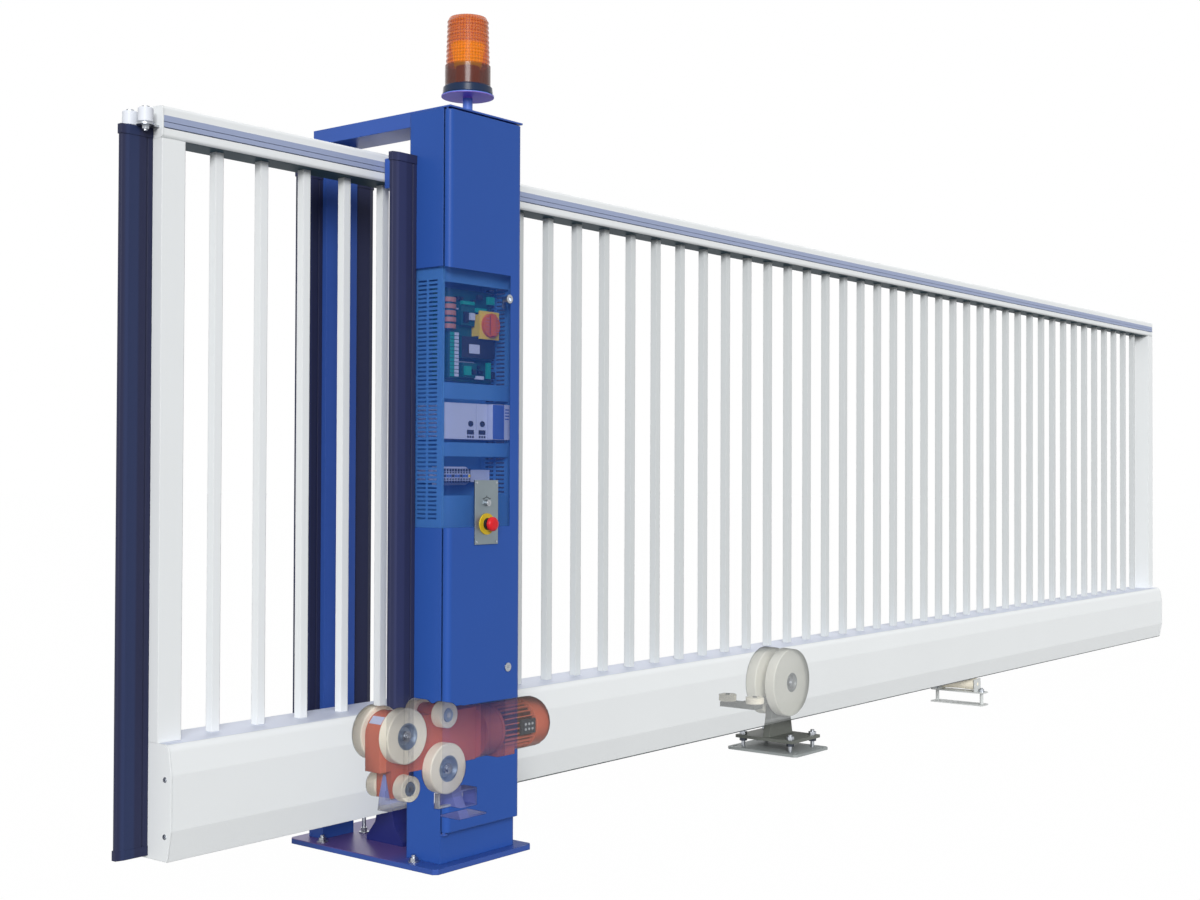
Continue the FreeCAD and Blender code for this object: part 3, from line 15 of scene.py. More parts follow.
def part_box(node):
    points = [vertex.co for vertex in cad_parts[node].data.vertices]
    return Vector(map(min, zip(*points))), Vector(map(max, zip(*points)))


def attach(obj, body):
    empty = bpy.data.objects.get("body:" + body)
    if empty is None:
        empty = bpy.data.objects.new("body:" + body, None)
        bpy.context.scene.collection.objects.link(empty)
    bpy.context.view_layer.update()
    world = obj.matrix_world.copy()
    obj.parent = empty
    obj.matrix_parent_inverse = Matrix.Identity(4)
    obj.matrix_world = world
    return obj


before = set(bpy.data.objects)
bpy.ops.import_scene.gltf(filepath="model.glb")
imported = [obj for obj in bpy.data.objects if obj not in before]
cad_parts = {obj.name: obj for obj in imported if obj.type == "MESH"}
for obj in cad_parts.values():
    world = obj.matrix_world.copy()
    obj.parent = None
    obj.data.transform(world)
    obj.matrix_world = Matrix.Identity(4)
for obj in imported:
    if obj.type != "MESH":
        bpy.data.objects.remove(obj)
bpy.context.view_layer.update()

# %% [markdown]
# ## Camera
# The camera's place was worked out from the straight edges of the gate: the bars give the upright
# direction, the beam and the rail give the direction along the leaf. A camera is three unit vectors and
# a point, so its matrix is written directly instead of being aimed with a constraint. A line of sight to
# the motor passes the door, the column and the beam, two skins each, so see-through depth is raised.

# %% Camera
EYE = (-3.256, -3.297, 1.089)
RIGHTWARD = Vector((0.62304, -0.78218, 0.00378))
UPWARD = Vector((-0.01383, -0.00618, 0.99988))
SENSOR_MM = 36
FOCAL_MM = 47.15
SKINS_DEEP = 24
lens = bpy.data.cameras.new("gate_view")
lens.sensor_fit = "HORIZONTAL"
lens.sensor_width = SENSOR_MM
lens.lens = FOCAL_MM
camera = bpy.data.objects.new("camera", lens)
turn = Matrix((RIGHTWARD, UPWARD, RIGHTWARD.cross(UPWARD))).transposed().to_4x4()
camera.matrix_world = Matrix.Translation(EYE) @ turn
bpy.context.scene.collection.objects.link(camera)
bpy.context.scene.camera = camera
bpy.context.scene.view_settings.view_transform = "Standard"
bpy.context.scene.cycles.transparent_max_bounces = SKINS_DEEP
print("camera at", tuple(round(v, 2) for v in camera.matrix_world.translation))

# %% [markdown]
# ## Shader sums in plain Python
# Node trees are easier to read as sums. `Value` wraps one output socket, and each operator adds the Math
# node that it stands for. `Graph.add` makes any other node from its type, its settings and its sockets,
# and serves shader trees and geometry trees alike.


# %% Value and graph
class Value:
    """An output socket that takes part in sums."""

    def __init__(self, graph, socket):
        self.graph = graph
        self.socket = socket

    def __add__(self, other):
        return self.graph.maths("ADD", self, other)

    def __radd__(self, other):
        return self.graph.maths("ADD", other, self)

    def __sub__(self, other):
        return self.graph.maths("SUBTRACT", self, other)

    def __rsub__(self, other):
        return self.graph.maths("SUBTRACT", other, self)

    def __mul__(self, other):
        return self.graph.maths("MULTIPLY", self, other)

    def __rmul__(self, other):
        return self.graph.maths("MULTIPLY", other, self)

    def __truediv__(self, other):
        return self.graph.maths("DIVIDE", self, other)


class Graph:
    """A node tree that is filled node by node."""

    def __init__(self, tree):
        self.tree = tree

    def add(self, kind, settings=None, sockets=None, out=0):
        """One node. A list gives one socket several links."""
        node = self.tree.nodes.new(kind)
        for name, value in (settings or {}).items():
            setattr(node, name, value)
        for key, value in (sockets or {}).items():
            links = value if isinstance(value, list) else [value]
            for item in links:
                if isinstance(item, Value):
                    self.tree.links.new(item.socket, node.inputs[key])
                else:
                    node.inputs[key].default_value = item
        return Value(self, node.outputs[out]) if node.outputs else node

    def maths(self, operation, *values):
        return self.add("ShaderNodeMath", {"operation": operation}, dict(enumerate(values)))

    def fade(self, value, low, high):
        """Nothing below low, all above high, and a smooth step between them."""
        sockets = {"Value": value, "From Min": low, "From Max": high}
        return self.add("ShaderNodeMapRange", {"interpolation_type": "SMOOTHSTEP"}, sockets)


print("graph helpers ready")

# %% [markdown]
# ## Colours and the finish class
# Every finish reads Object coordinates, so its grain stays on the piece when the leaf slides or the door
# turns. A UV map would do too, but the solids come without one. Colours are written as screen values and
# made linear here, because shaders count in linear light.


# %% Finish
def tint(red, green, blue):
    """A screen colour as the linear colour that shaders use."""
    linear = []
    for part in (red, green, blue):
        part = part / 255
        linear.append(part / 12.92 if part <= 0.04045 else ((part + 0.055) / 1.055) ** 2.4)
    return (*linear, 1.0)


def shade(colour, factor):
    """The same colour, lighter or darker."""
    return (*[min(1.0, part * factor) for part in colour[:3]], 1.0)


class Finish(Graph):
    """One material of the gate."""

    def __init__(self, name):
        self.material = bpy.data.materials.new(name)
        self.material.use_nodes = True
        super().__init__(self.material.node_tree)
        self.tree.nodes.clear()
        self.place = self.add("ShaderNodeTexCoord", out="Object")
        split = self.add("ShaderNodeSeparateXYZ", sockets={0: self.place})
        self.x, self.y, self.z = [Value(self, socket) for socket in split.socket.node.outputs]

    def noise(self, scale, detail=2.0, stretch=(1, 1, 1)):
        spot = self.add("ShaderNodeVectorMath", {"operation": "MULTIPLY"}, {0: self.place, 1: stretch})
        return self.add("ShaderNodeTexNoise", sockets={"Vector": spot, "Scale": scale, "Detail": detail})

    def blend(self, mask, low, high):
        return self.add("ShaderNodeMix", {"data_type": "RGBA"}, {0: mask, 6: low, 7: high}, out=2)

    def inside(self, low, high, soft=0.001):
        """A mask of one inside a box, given by two corners in metres. None leaves an axis free."""
        mask = None
        for axis, start, end in zip((self.x, self.y, self.z), low, high):
            if start is None:
                continue
            step = self.fade(axis, start - soft, start + soft) * (1 - self.fade(axis, end - soft, end + soft))
            mask = step if mask is None else mask * step
        return mask

    def relief(self, height, strength, depth, edge=0.0):
        """A bumped normal, with edges rounded off by the given radius."""
        sockets = {"Strength": strength, "Distance": depth, "Height": height}
        if edge:
            sockets["Normal"] = self.add("ShaderNodeBevel", {"samples": 4}, {"Radius": edge})
        return self.add("ShaderNodeBump", sockets=sockets)

    def surface(self, **sockets):
        named = {name.replace("_", " "): value for name, value in sockets.items()}
        shader = self.add("ShaderNodeBsdfPrincipled", sockets=named)
        self.add("ShaderNodeOutputMaterial", sockets={"Surface": shader})
        return self.material


BLUE = tint(44, 82, 160)
WHITE = tint(230, 233, 234)
print("blue", tuple(round(v, 3) for v in BLUE[:3]))

# %% [markdown]
# ## Sprayed and moulded skins
# Most of the gate is spray paint, powder coat or moulded plastic. All three are one colour with a little
# drift of tone, a gloss that wanders and a fine bump, because no such face is quite flat. One function
# makes them all. `grain` is how fine the bump is, `edge` rounds edges in the shading, `scuffs` adds wear,
# `see` gives an alpha, and `patch` gives a mask and the second colour that it lets through.

# %% Coat
CLOUD_SCALE = 3.0
GLOSS_SWING = 0.15
SCUFF_SCALE = 38
SCUFF_STEP = (0.62, 0.75)
SCUFF_SHADE = 0.6
SCUFF_DULLS = 0.2
PEEL = 0.25


def coat(name, colour, rough=0.4, grain=700, depth=0.0003, drift=0.06, edge=0.0, scuffs=0.0, shine=0.2,
         glow=0.0, see=None, patch=None):
    """One colour with drift, wandering gloss and fine orange peel."""
    finish = Finish(name)
    cloud = finish.noise(CLOUD_SCALE, 3)
    fine = finish.noise(grain, 2)
    tone = finish.blend(cloud, shade(colour, 1 - drift), shade(colour, 1 + drift))
    gloss = rough + (cloud - 0.5) * GLOSS_SWING
    if scuffs:
        wear = finish.fade(finish.noise(SCUFF_SCALE, 5), *SCUFF_STEP) * scuffs
        tone = finish.blend(wear, tone, shade(colour, SCUFF_SHADE))
        gloss = gloss + wear * SCUFF_DULLS
    if patch:
        mask, second = patch(finish)
        tone = finish.blend(mask, tone, second)
    normal = finish.relief(fine, PEEL, depth, edge)
    sockets = {"Base_Color": tone, "Roughness": gloss, "Normal": normal, "Specular_IOR_Level": shine}
    if glow:
        sockets.update(Emission_Color=tone, Emission_Strength=glow)
    if see:
        sockets["Alpha"] = see(finish)
    return finish.surface(**sockets)


print("clouds of tone are about", round(1 / CLOUD_SCALE, 2), "m wide")

# %% [markdown]
# ## See-through skin
# The real gate is shown with its drive and its control gear glimpsed through the steel. Here the skin has
# a see-through patch in front of each hidden piece. A patch is the outline of that piece, thrown on the
# skin along lines from one fixed point of the model, so the same sums serve the door, the column and the
# beam. They read only Object coordinates: the patches are painted on the skin and stay there in every view.
# A wheel throws a capsule, because its two rims are circles. Anything else throws the hull of its corners.
# Behind the hidden pieces the skin stays whole, so the gate looks solid from the back.

# %% Places of the axles
# The leaf's middle lies at this y. An axle is its place along the leaf and its height.
LEAF = 0.035
DRIVE_AXLE = (-0.050, 0.3277)
SUPPORT_AXLE = (0.120, 0.2113)
HIGH_AXLE = (0.120, 0.3692)
LOW_AXLE = (-0.036, 0.1748)
BLOCK_AXLE = (2.063, 0.2683)
MOTOR_HEIGHT = 0.292
print("five axles under a leaf at", LEAF)


# %% Sight lines
class Sight:
    """Outlines of hidden pieces, thrown along lines from one fixed point in front of the portal."""

    eye = EYE

    def __init__(self, wheels, forms, deep=0.105):
        self.wheels = wheels
        self.forms = forms
        self.deep = deep

    def flat(self, point):
        """A point thrown on the plane one metre in front of the eye, and its own depth."""
        depth = point[1] - self.eye[1]
        return (point[0] - self.eye[0]) / depth, (point[2] - self.eye[2]) / depth, depth

    def lines(self, finish):
        """The same sum for every point of a skin."""
        depth = finish.y - self.eye[1]
        return (finish.x - self.eye[0]) / depth, (finish.z - self.eye[2]) / depth

    def capsule(self, finish, across, height, wheel):
        """How far a point lies outside a wheel's outline, in metres."""
        x, z, near, far, radius = wheel
        au, av, first = self.flat((x, LEAF + near, z))
        bu, bv, last = self.flat((x, LEAF + far, z))
        du, dv = bu - au, bv - av
        span = max(du * du + dv * dv, 1e-9)
        u = across - au
        v = height - av
        along = u * (du / span) + v * (dv / span)
        along = finish.maths("MINIMUM", finish.maths("MAXIMUM", along, 0.0), 1.0)
        u = u - along * du
        v = v - along * dv
        return finish.maths("SQRT", u * u + v * v) * ((first + last) / 2) - radius

    def hull(self, finish, across, height, corners):
        """How far a point lies outside the hull of some corners, in metres."""
        spots = sorted({self.flat(corner)[:2] for corner in corners})
        depth = sum(self.flat(corner)[2] for corner in corners) / len(corners)
        outline = []
        for row in (spots, spots[::-1]):
            chain = []
            for u, v in row:
                while len(chain) > 1:
                    (pu, pv), (qu, qv) = chain[-2:]
                    if (qu - pu) * (v - pv) - (qv - pv) * (u - pu) > 0:
                        break
                    chain.pop()
                chain.append((u, v))
            outline += chain[:-1]
        away = None
        for (pu, pv), (qu, qv) in zip(outline, outline[1:] + outline[:1]):
            size = math.hypot(qu - pu, qv - pv) / depth
            nu, nv = (qv - pv) / size, (pu - qu) / size
            side = finish.maths("MULTIPLY_ADD", across, nu, height * nv)
            side = side - (pu * nu + pv * nv)
            away = side if away is None else finish.maths("MAXIMUM", away, side)
        return away

    def mask(self, finish, soft=0.002):
        """One inside any outline, on the sides in front of the hidden pieces."""
        across, height = self.lines(finish)
        away = None
        for method, shapes in ((self.capsule, self.wheels), (self.hull, self.forms)):
            for shape in shapes:
                outside = method(finish, across, height, shape)
                away = outside if away is None else finish.maths("MINIMUM", away, outside)
        behind = finish.fade(finish.y, self.deep, self.deep + 0.001)
        return (1 - finish.fade(away, -soft, soft / 2)) * (1 - behind)


print("patches are thrown from", Sight.eye)

# %% [markdown]
# Hidden pieces are boxes, cans and flat rollers, so three small functions list their outer points. A
# wheel is two rims at distances from the leaf's middle, and most wheels come in pairs.


# %% Outer points
def box_corners(low, high):
    """The eight corners of a box."""
    return [(x, y, z) for x in (low[0], high[0]) for y in (low[1], high[1]) for z in (low[2], high[2])]


def can_corners(stations, y, z, sides=24):
    """Points round a can that lies along the leaf, given as distances and radii."""
    spots = []
    for x, radius in stations:
        for k in range(sides):
            bearing = math.tau * k / sides
            spots.append((x, y + radius * math.cos(bearing), z + radius * math.sin(bearing)))
    return spots


def disc_corners(x, y, radius, heights):
    """Points round a flat roller. Seven steps of one radian go once round."""
    return [(x + radius * math.cos(k), y + radius * math.sin(k), z) for k in range(7) for z in heights]


def pair(axle, inner, outer, radius):
    """Two wheels on one axle, the near one first."""
    return [(*axle, -outer, -inner, radius), (*axle, inner, outer, radius)]


print(len(box_corners((0, 0, 0), (1, 1, 1))), "corners in a box")

# %% [markdown]
# The drive has four pairs of wheels, the casting between them, the motor, and the stand and bracket that
# carry it. The roller block has its twin wheels, two flat side rollers on a tee-shaped arm, and its web.

# %% Patches
RIM = 0.074
SIDE_ROLLER = 0.0617
ARM = (0.194, 0.214)
DRIVE = Sight([
    *pair(DRIVE_AXLE, 0.036, RIM, 0.0800),
    pair(SUPPORT_AXLE, 0.036, RIM, 0.0750)[0],
    *pair(HIGH_AXLE, 0.030, RIM, 0.0385),
    *pair(LOW_AXLE, 0.030, RIM, 0.0385),
    (*DRIVE_AXLE, -0.031, 0.031, 0.0680),
    (*HIGH_AXLE, -0.031, 0.031, 0.0300),
], [
    box_corners((-0.050, 0.004, 0.212), (0.282, 0.066, 0.372)),
    box_corners((-0.118, 0.004, 0.226), (-0.049, 0.066, 0.328)),
    box_corners((-0.072, 0.004, 0.146), (0.000, 0.066, 0.328)),
    can_corners([(0.282, 0.0825), (0.570, 0.0800), (0.582, 0.0755), (0.591, 0.0650), (0.594, 0.0510)],
                LEAF, MOTOR_HEIGHT),
    box_corners((0.370, -0.007, 0.206), (0.450, 0.077, 0.261)),
    box_corners((0.222, 0.007, 0.070), (0.292, 0.063, 0.126)),
    box_corners((0.202, -0.005, 0.040), (0.322, 0.075, 0.046)),
    box_corners((0.128, 0.010, 0.082), (0.186, 0.030, 0.130)),
])
STAND = Sight([], [
    [(x, LEAF + side * half, z) for x in (-0.069, -0.003) for side in (-1, 1)
     for half, z in ((0.007, 0.212), (0.024, 0.146), (0.030, 0.105))],
])
ROLLERS = Sight(pair(BLOCK_AXLE, 0.021, 0.065, 0.1320), [
    disc_corners(1.800, LEAF - SIDE_ROLLER, 0.035, (0.214, 0.240)),
    disc_corners(1.800, LEAF + SIDE_ROLLER, 0.035, (0.214, 0.240)),
    box_corners((1.770, LEAF - 0.078, ARM[0]), (1.830, LEAF + 0.078, ARM[1])),
    box_corners((1.770, LEAF - 0.015, ARM[0]), (2.063, LEAF + 0.015, ARM[1])),
    [(x, y, z) for x, z in ((1.978, 0.058), (2.148, 0.058), (2.105, 0.268), (2.021, 0.268))
     for y in (0.020, 0.050)],
])
CABINET = Sight([], [box_corners(*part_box("control_chassis"))], deep=-0.1425)


def skin(*groups):
    """An alpha that falls by a share in front of each hidden group."""
    def see(finish):
        clear = None
        for share, sight in groups:
            patch = sight.mask(finish) * share
            clear = patch if clear is None else finish.maths("MAXIMUM", clear, patch)
        return 1 - clear
    return see


print(len(DRIVE.wheels) + len(ROLLERS.wheels), "wheel patches")
print(len(DRIVE.forms) + len(ROLLERS.forms), "form patches")

# %% [markdown]
# ## Second tones on the leaf and the portal
# Some faces of one solid differ a little in colour, and all of it is painted light: the flat top of the beam
# is a cooler white as a painted reflection, its lower lip and the underside of the rail are dark with painted
# shade, the base plate is violet with painted shade and reflection under the beam, far bars are greyer in
# painted shade, and a rubber edge has a lighter stripe of painted reflection. Painting such faces one by one
# would need picked faces, so a mask by height or length does it. Each range below is where a tone starts and
# where it has gone over, in metres.

# %% Second tones
BEAM_TOP_REFLECTION = (0.4140, 0.4156)
BEAM_LIP_SHADE = (0.1310, 0.1325)
PAST_PORTAL = (0.10, 0.30)
RAIL_FOOT_SHADE = (1.9206, 1.9214)
BARS_IN_SHADE = (0.0, 0.6)
PLATE_REAR = (-0.21, -0.06)
PLATE_TOP = (0.0120, 0.0148)
NOSE_REFLECTION = (-0.966, -0.928)
EDGE_REFLECTION = (-0.226, -0.190)


def beam_painted_light(finish):
    """The flat top of the beam is a cooler white, a painted reflection, and beyond the portal its lower lip
    has a dark edge of painted shade.
    """
    top_reflection = finish.fade(finish.z, *BEAM_TOP_REFLECTION)
    lip_shade = (1 - finish.fade(finish.z, *BEAM_LIP_SHADE)) * finish.fade(finish.x, *PAST_PORTAL)
    return finish.maths("MAXIMUM", top_reflection, lip_shade), finish.blend(top_reflection, tint(84, 90, 92), tint(206, 212, 228))


def rail_foot_shade(finish):
    """The underside of the rail is painted dark grey as shade under the rail."""
    return 1 - finish.fade(finish.z, *RAIL_FOOT_SHADE), tint(62, 82, 92)


def far_bars(finish):
    """Bars beyond the portal stand in its shade and look a little greyer."""
    return finish.fade(finish.x, *BARS_IN_SHADE), tint(208, 212, 213)


def plate_painted_shade(finish):
    """The base plate turns violet behind the column, where the beam hangs over it: painted shade and
    reflection under the beam.
    """
    return finish.fade(finish.y, *PLATE_REAR) * finish.fade(finish.z, *PLATE_TOP), tint(98, 80, 146)


def reflection_stripe(span, tone):
    """A lighter stripe on a rubber edge, a painted reflection where its bulge catches the light."""
    def patch(finish):
        return finish.inside((span[0], None, None), (span[1], None, None), 0.004), tone
    return patch


print("stripes", round(NOSE_REFLECTION[1] - NOSE_REFLECTION[0], 3), round(EDGE_REFLECTION[1] - EDGE_REFLECTION[0], 3))

# %% [markdown]
# ## Finishes of the portal and the leaf
# The portal is sprayed blue over folded steel. The leaf is white powder coat on aluminium, which keeps a
# visible orange peel. Rubber edges are dark navy and nearly matt.

# %% Paint and rubber
FINISH = {}
POWDER = {"rough": 0.45, "grain": 420, "depth": 0.0005, "drift": 0.02}
RUBBER = {"rough": 0.5, "grain": 900, "depth": 0.0003, "drift": 0.12, "edge": 0.003}
FINISH["door"] = coat("blue_door_paint", BLUE, rough=0.34, edge=0.004, shine=0.12,
                      see=skin((0.9, DRIVE), (0.82, CABINET)))
FINISH["column"] = coat("blue_column_paint", BLUE, rough=0.34, edge=0.006, shine=0.12,
                        see=skin((0.97, DRIVE), (0.86, CABINET)))
FINISH["blue"] = coat("blue_portal_paint", tint(54, 88, 168), rough=0.36, edge=0.003, scuffs=0.12)
# The plate's top behind the column carries painted shade and reflection.
FINISH["plate"] = coat("blue_plate_paint", tint(50, 80, 156), rough=0.36, edge=0.003, scuffs=0.12,
                       patch=plate_painted_shade)
FINISH["white"] = coat("white_leaf_coat", WHITE, edge=0.003, **POWDER)
FINISH["bars"] = coat("white_bar_coat", WHITE, edge=0.003, patch=far_bars, **POWDER)
# The rail's underside is painted dark as shade.
FINISH["rail"] = coat("white_rail_coat", WHITE, shine=0.03, patch=rail_foot_shade, **POWDER)
# The beam's top carries a painted reflection and its lower lip a painted shade line.
FINISH["beam"] = coat("white_beam_coat", WHITE, edge=0.003, patch=beam_painted_light,
                      see=skin((0.95, DRIVE), (0.76, STAND), (0.82, ROLLERS)), **POWDER)
FINISH["lilac"] = coat("lilac_strip_finish", tint(154, 165, 194), rough=0.5, grain=300, drift=0.04)
# The lighter stripe on the nose rubber is a painted reflection.
FINISH["rubber"] = coat("edge_rubber_skin", tint(36, 40, 68),
                        patch=reflection_stripe(NOSE_REFLECTION, tint(40, 50, 84)), **RUBBER)
# The lighter stripe on the portal rubber is a painted reflection.
FINISH["column_rubber"] = coat("portal_rubber_skin", tint(42, 46, 76), see=skin((0.86, DRIVE), (0.86, STAND)),
                               patch=reflection_stripe(EDGE_REFLECTION, tint(50, 55, 90)), **RUBBER)
print(len(FINISH), "skins")

# %% [markdown]
# ## Second tones on the drive
# The stand under the gearbox goes from a dark foot to a pale tongue, painted shade and its lit copy, painted
# shade darkens the floor between the motor's fins, and the face of the twin wheels is painted greyer than
# their lit tread, as painted shade.

# %% Tones of stand, fins and wheels
FOOT_SHADE_LINE = (0.112, 0.132)
STAND_END = (0.05, 0.06)
FIN_SHADE_FLOOR = (0.064, 0.075)
FINS_START = (0.371, 0.377)
WHEEL_FACE_SHADE = (-0.0295, -0.0285)


def stand_painted_shade(finish):
    """The tongue is pale violet and the foot dark blue, lit and shaded copies of one paint: the dark foot is
    painted shade under the beam. The bracket beyond them keeps the plain violet.
    """
    tone = finish.blend(finish.fade(finish.z, *FOOT_SHADE_LINE), tint(36, 42, 108), tint(140, 152, 222))
    return 1 - finish.fade(finish.x, *STAND_END), tone


def fin_gap_shade(finish):
    """The floor between the fins, told by its distance from the motor's axis, darkened as painted shade."""
    rise = finish.z - MOTOR_HEIGHT
    reach = finish.y - LEAF
    radius = finish.maths("SQRT", rise * rise + reach * reach)
    return (1 - finish.fade(radius, *FIN_SHADE_FLOOR)) * finish.fade(finish.x, *FINS_START), tint(70, 26, 18)


def wheel_face_shade(finish):
    """The face towards the road, painted greyer as shade beside the lit tread."""
    return 1 - finish.fade(finish.y, *WHEEL_FACE_SHADE), tint(210, 209, 199)


print("fin floor at", FIN_SHADE_FLOOR)

# %% [markdown]
# ## Finishes of the drive and the rollers
# The gearbox and the motor are cast iron under orange paint, rougher than the portal. The wheels are cast
# plastic, and a faint glow on them is painted light that lifts them out of the shade inside the beam. The
# roller block is grey paint on steel.

# %% Castings, wheels and stands
CAST = {"rough": 0.5, "grain": 260, "depth": 0.0009, "drift": 0.08}
GREY_PAINT = {"rough": 0.55, "grain": 300, "depth": 0.0007, "drift": 0.1, "edge": 0.002, "scuffs": 0.25}
ORANGE = tint(205, 104, 78)
FINISH["orange"] = coat("orange_casting_paint", ORANGE, edge=0.004, scuffs=0.2, **CAST)
# The floor between the motor's fins is darkened as painted shade.
FINISH["motor"] = coat("orange_motor_paint", ORANGE, edge=0.002, patch=fin_gap_shade, **CAST)
FINISH["fan"] = coat("orange_cover_paint", tint(198, 100, 72), rough=0.42, grain=500, depth=0.0004,
                     edge=0.004)
# The wheels' faint glow is painted light against the shade inside the beam.
FINISH["cream"] = coat("wheel_plastic", tint(250, 243, 224), rough=0.42, grain=340, drift=0.05, edge=0.003,
                       scuffs=0.06, glow=0.08)
# The twin wheels' faint glow is painted light, and their face is painted greyer as shade.
FINISH["twin"] = coat("twin_wheel_plastic", tint(242, 240, 228), rough=0.45, grain=340, drift=0.05,
                      edge=0.003,
                      glow=0.05, patch=wheel_face_shade)
FINISH["nose"] = coat("nose_roller_plastic", tint(222, 226, 234), grain=340, drift=0.04, edge=0.002)
FINISH["grey"] = coat("grey_casting_paint", tint(104, 107, 102), **GREY_PAINT)
# The base wears a lighter copy of the grey paint, painted light against the shade on the base.
FINISH["lit_base_grey"] = coat("grey_base_lit_paint", tint(150, 155, 155), **GREY_PAINT)
FINISH["tail"] = coat("tail_bracket_paint", tint(206, 209, 208), rough=0.5, grain=400, depth=0.0005,
                      drift=0.05,
                      edge=0.002, scuffs=0.12)
# The stand is painted in two tones for light and shade: a dark foot of painted shade and a pale lit tongue.
FINISH["violet"] = coat("drive_stand_paint", tint(160, 166, 238), rough=0.48, grain=500, depth=0.0004,
                        edge=0.002, patch=stand_painted_shade)
print(len(FINISH), "finishes with the drive")

# %% [markdown]
# ## Bare metal
# Axles, bolts, the key barrel and the operating plate are turned or ground. Noise that is squeezed along
# one axis gives the short streaks of the tool, and a wider noise the stain of handling.

# %% Metals
STREAKS = (1, 1, 6)
STREAK_SWING = 0.25
STAIN_SCALE = 14


def machined(name, colour, rough, grain=500, metal=1.0):
    """Turned or ground steel with short streaks and a little handling stain."""
    finish = Finish(name)
    streak = finish.noise(grain, 2, STREAKS)
    stain = finish.noise(STAIN_SCALE, 4)
    tone = finish.blend(stain, shade(colour, 0.75), shade(colour, 1.1))
    gloss = rough + (streak - 0.5) * STREAK_SWING
    normal = finish.relief(streak, 0.12, 0.0002, edge=0.0012)
    return finish.surface(Base_Color=tone, Roughness=gloss, Normal=normal, Metallic=metal)


FINISH["steel"] = machined("bright_steel", tint(176, 180, 186), rough=0.32)
FINISH["hub"] = machined("hub_steel", tint(150, 165, 184), rough=0.4, metal=0.5)
FINISH["grey_hub"] = machined("twin_hub_steel", tint(128, 132, 132), rough=0.45, metal=0.5)
FINISH["dark_steel"] = machined("dark_sleeve_steel", tint(62, 66, 74), rough=0.42)
FINISH["panel"] = machined("plate_aluminium", tint(138, 149, 155), rough=0.45, grain=300)
print(len(FINISH), "finishes with the metals")

# %% [markdown]
# ## Plastics of the controls
# Buttons, connectors and module cases are smooth mouldings, so their bump is ten times finer than paint.
# The circuit board's lacquer drifts most, because the copper under it shows through.

# %% Control plastics
SMOOTH = 0.0001
FINISH["black"] = coat("black_plastic", tint(34, 36, 44), rough=0.45, depth=0.0002, drift=0.1)
FINISH["lamp_base"] = coat("lamp_base_plastic", tint(24, 42, 70), rough=0.25, depth=SMOOTH, drift=0.08)
FINISH["red"] = coat("red_button_plastic", tint(206, 32, 40), rough=0.32, grain=600, depth=SMOOTH, drift=0.05)
FINISH["knob"] = coat("red_knob_plastic", tint(210, 100, 4), rough=0.38, grain=600, depth=SMOOTH)
FINISH["yellow"] = coat("yellow_plastic", tint(232, 200, 40), rough=0.38, grain=600, depth=SMOOTH, drift=0.05)
FINISH["chassis"] = coat("chassis_steel_paint", tint(74, 130, 200), rough=0.45, grain=800, depth=0.0002,
                         drift=0.05, edge=0.0008)
FINISH["pale"] = coat("pale_module_plastic", tint(198, 207, 240), rough=0.45, depth=SMOOTH, drift=0.04)
FINISH["board"] = coat("circuit_board_lacquer", tint(14, 84, 92), grain=300, depth=0.0004, drift=0.25)
FINISH["teal"] = coat("teal_connector_plastic", tint(20, 156, 146), depth=SMOOTH, drift=0.08)
FINISH["module_blue"] = coat("blue_module_plastic", tint(70, 104, 190), rough=0.42, depth=SMOOTH, drift=0.05)
FINISH["ceramic"] = coat("resistor_ceramic", tint(178, 122, 104), rough=0.6, grain=500, depth=0.0004,
                         drift=0.1)
print(len(FINISH), "finishes with the plastics")

# %% [markdown]
# ## Beacon lens
# The amber dome is thin plastic with a plain band at its foot and a grid of fine prisms above. Upright prisms
# follow the angle round the stem, which a wave of the arc tangent gives without any UV map, and level rings
# follow the height. The grid shows as a faint bump, and as light and dark in the tone, which is painted light
# of the prisms. Alpha lets the lamp show through, and rises at the sides, where the wall is seen at a slant.

# %% Amber lens
PRISMS = 44.0
RING_GAP = 0.009
BAND_TOP = (0.054, 0.062)
CLEAR_BODY = 0.58
SIDE_BODY = 0.34
BAND_BODY = 0.06
lens_low, lens_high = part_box("beacon_lens")
amber = Finish("amber_lens")
mid = (lens_low + lens_high) / 2
angle = amber.maths("ARCTAN2", amber.y - mid.y, amber.x - mid.x)
prism = amber.maths("SINE", angle * PRISMS)
ring = amber.maths("SINE", amber.z * (math.tau / RING_GAP))
grid = (prism + ring) * 0.25 + 0.5
band = 1 - amber.fade(amber.z, lens_low.z + BAND_TOP[0], lens_low.z + BAND_TOP[1])
# The prism grid's light and dark tone is painted light of the prisms.
prism_painted_light = amber.blend(grid, tint(168, 62, 18), tint(226, 122, 38))
slant = amber.add("ShaderNodeLayerWeight", sockets={"Blend": 0.5}, out="Facing")
FINISH["amber"] = amber.surface(
    Base_Color=amber.blend(band, prism_painted_light, tint(92, 44, 36)),
    Roughness=0.2,
    Alpha=CLEAR_BODY + slant * slant * SIDE_BODY + band * BAND_BODY,
    Normal=amber.relief(grid * (1 - band), 0.2, 0.0006),
    Specular_IOR_Level=0.3,
)
print("lens from", round(lens_low.z, 3), "to", round(lens_high.z, 3))

# %% [markdown]
# ## Parts with two colours in one moulding
# The stop button's collar has a yellow plate and a dark neck, the lamp has a brown stem under its yellow
# bowl, and the beacon's tray is violet below. The glow on the lamp is painted light, and the violet under the
# tray is a painted tone of its shaded underside. A box mask in Object coordinates splits each of them.


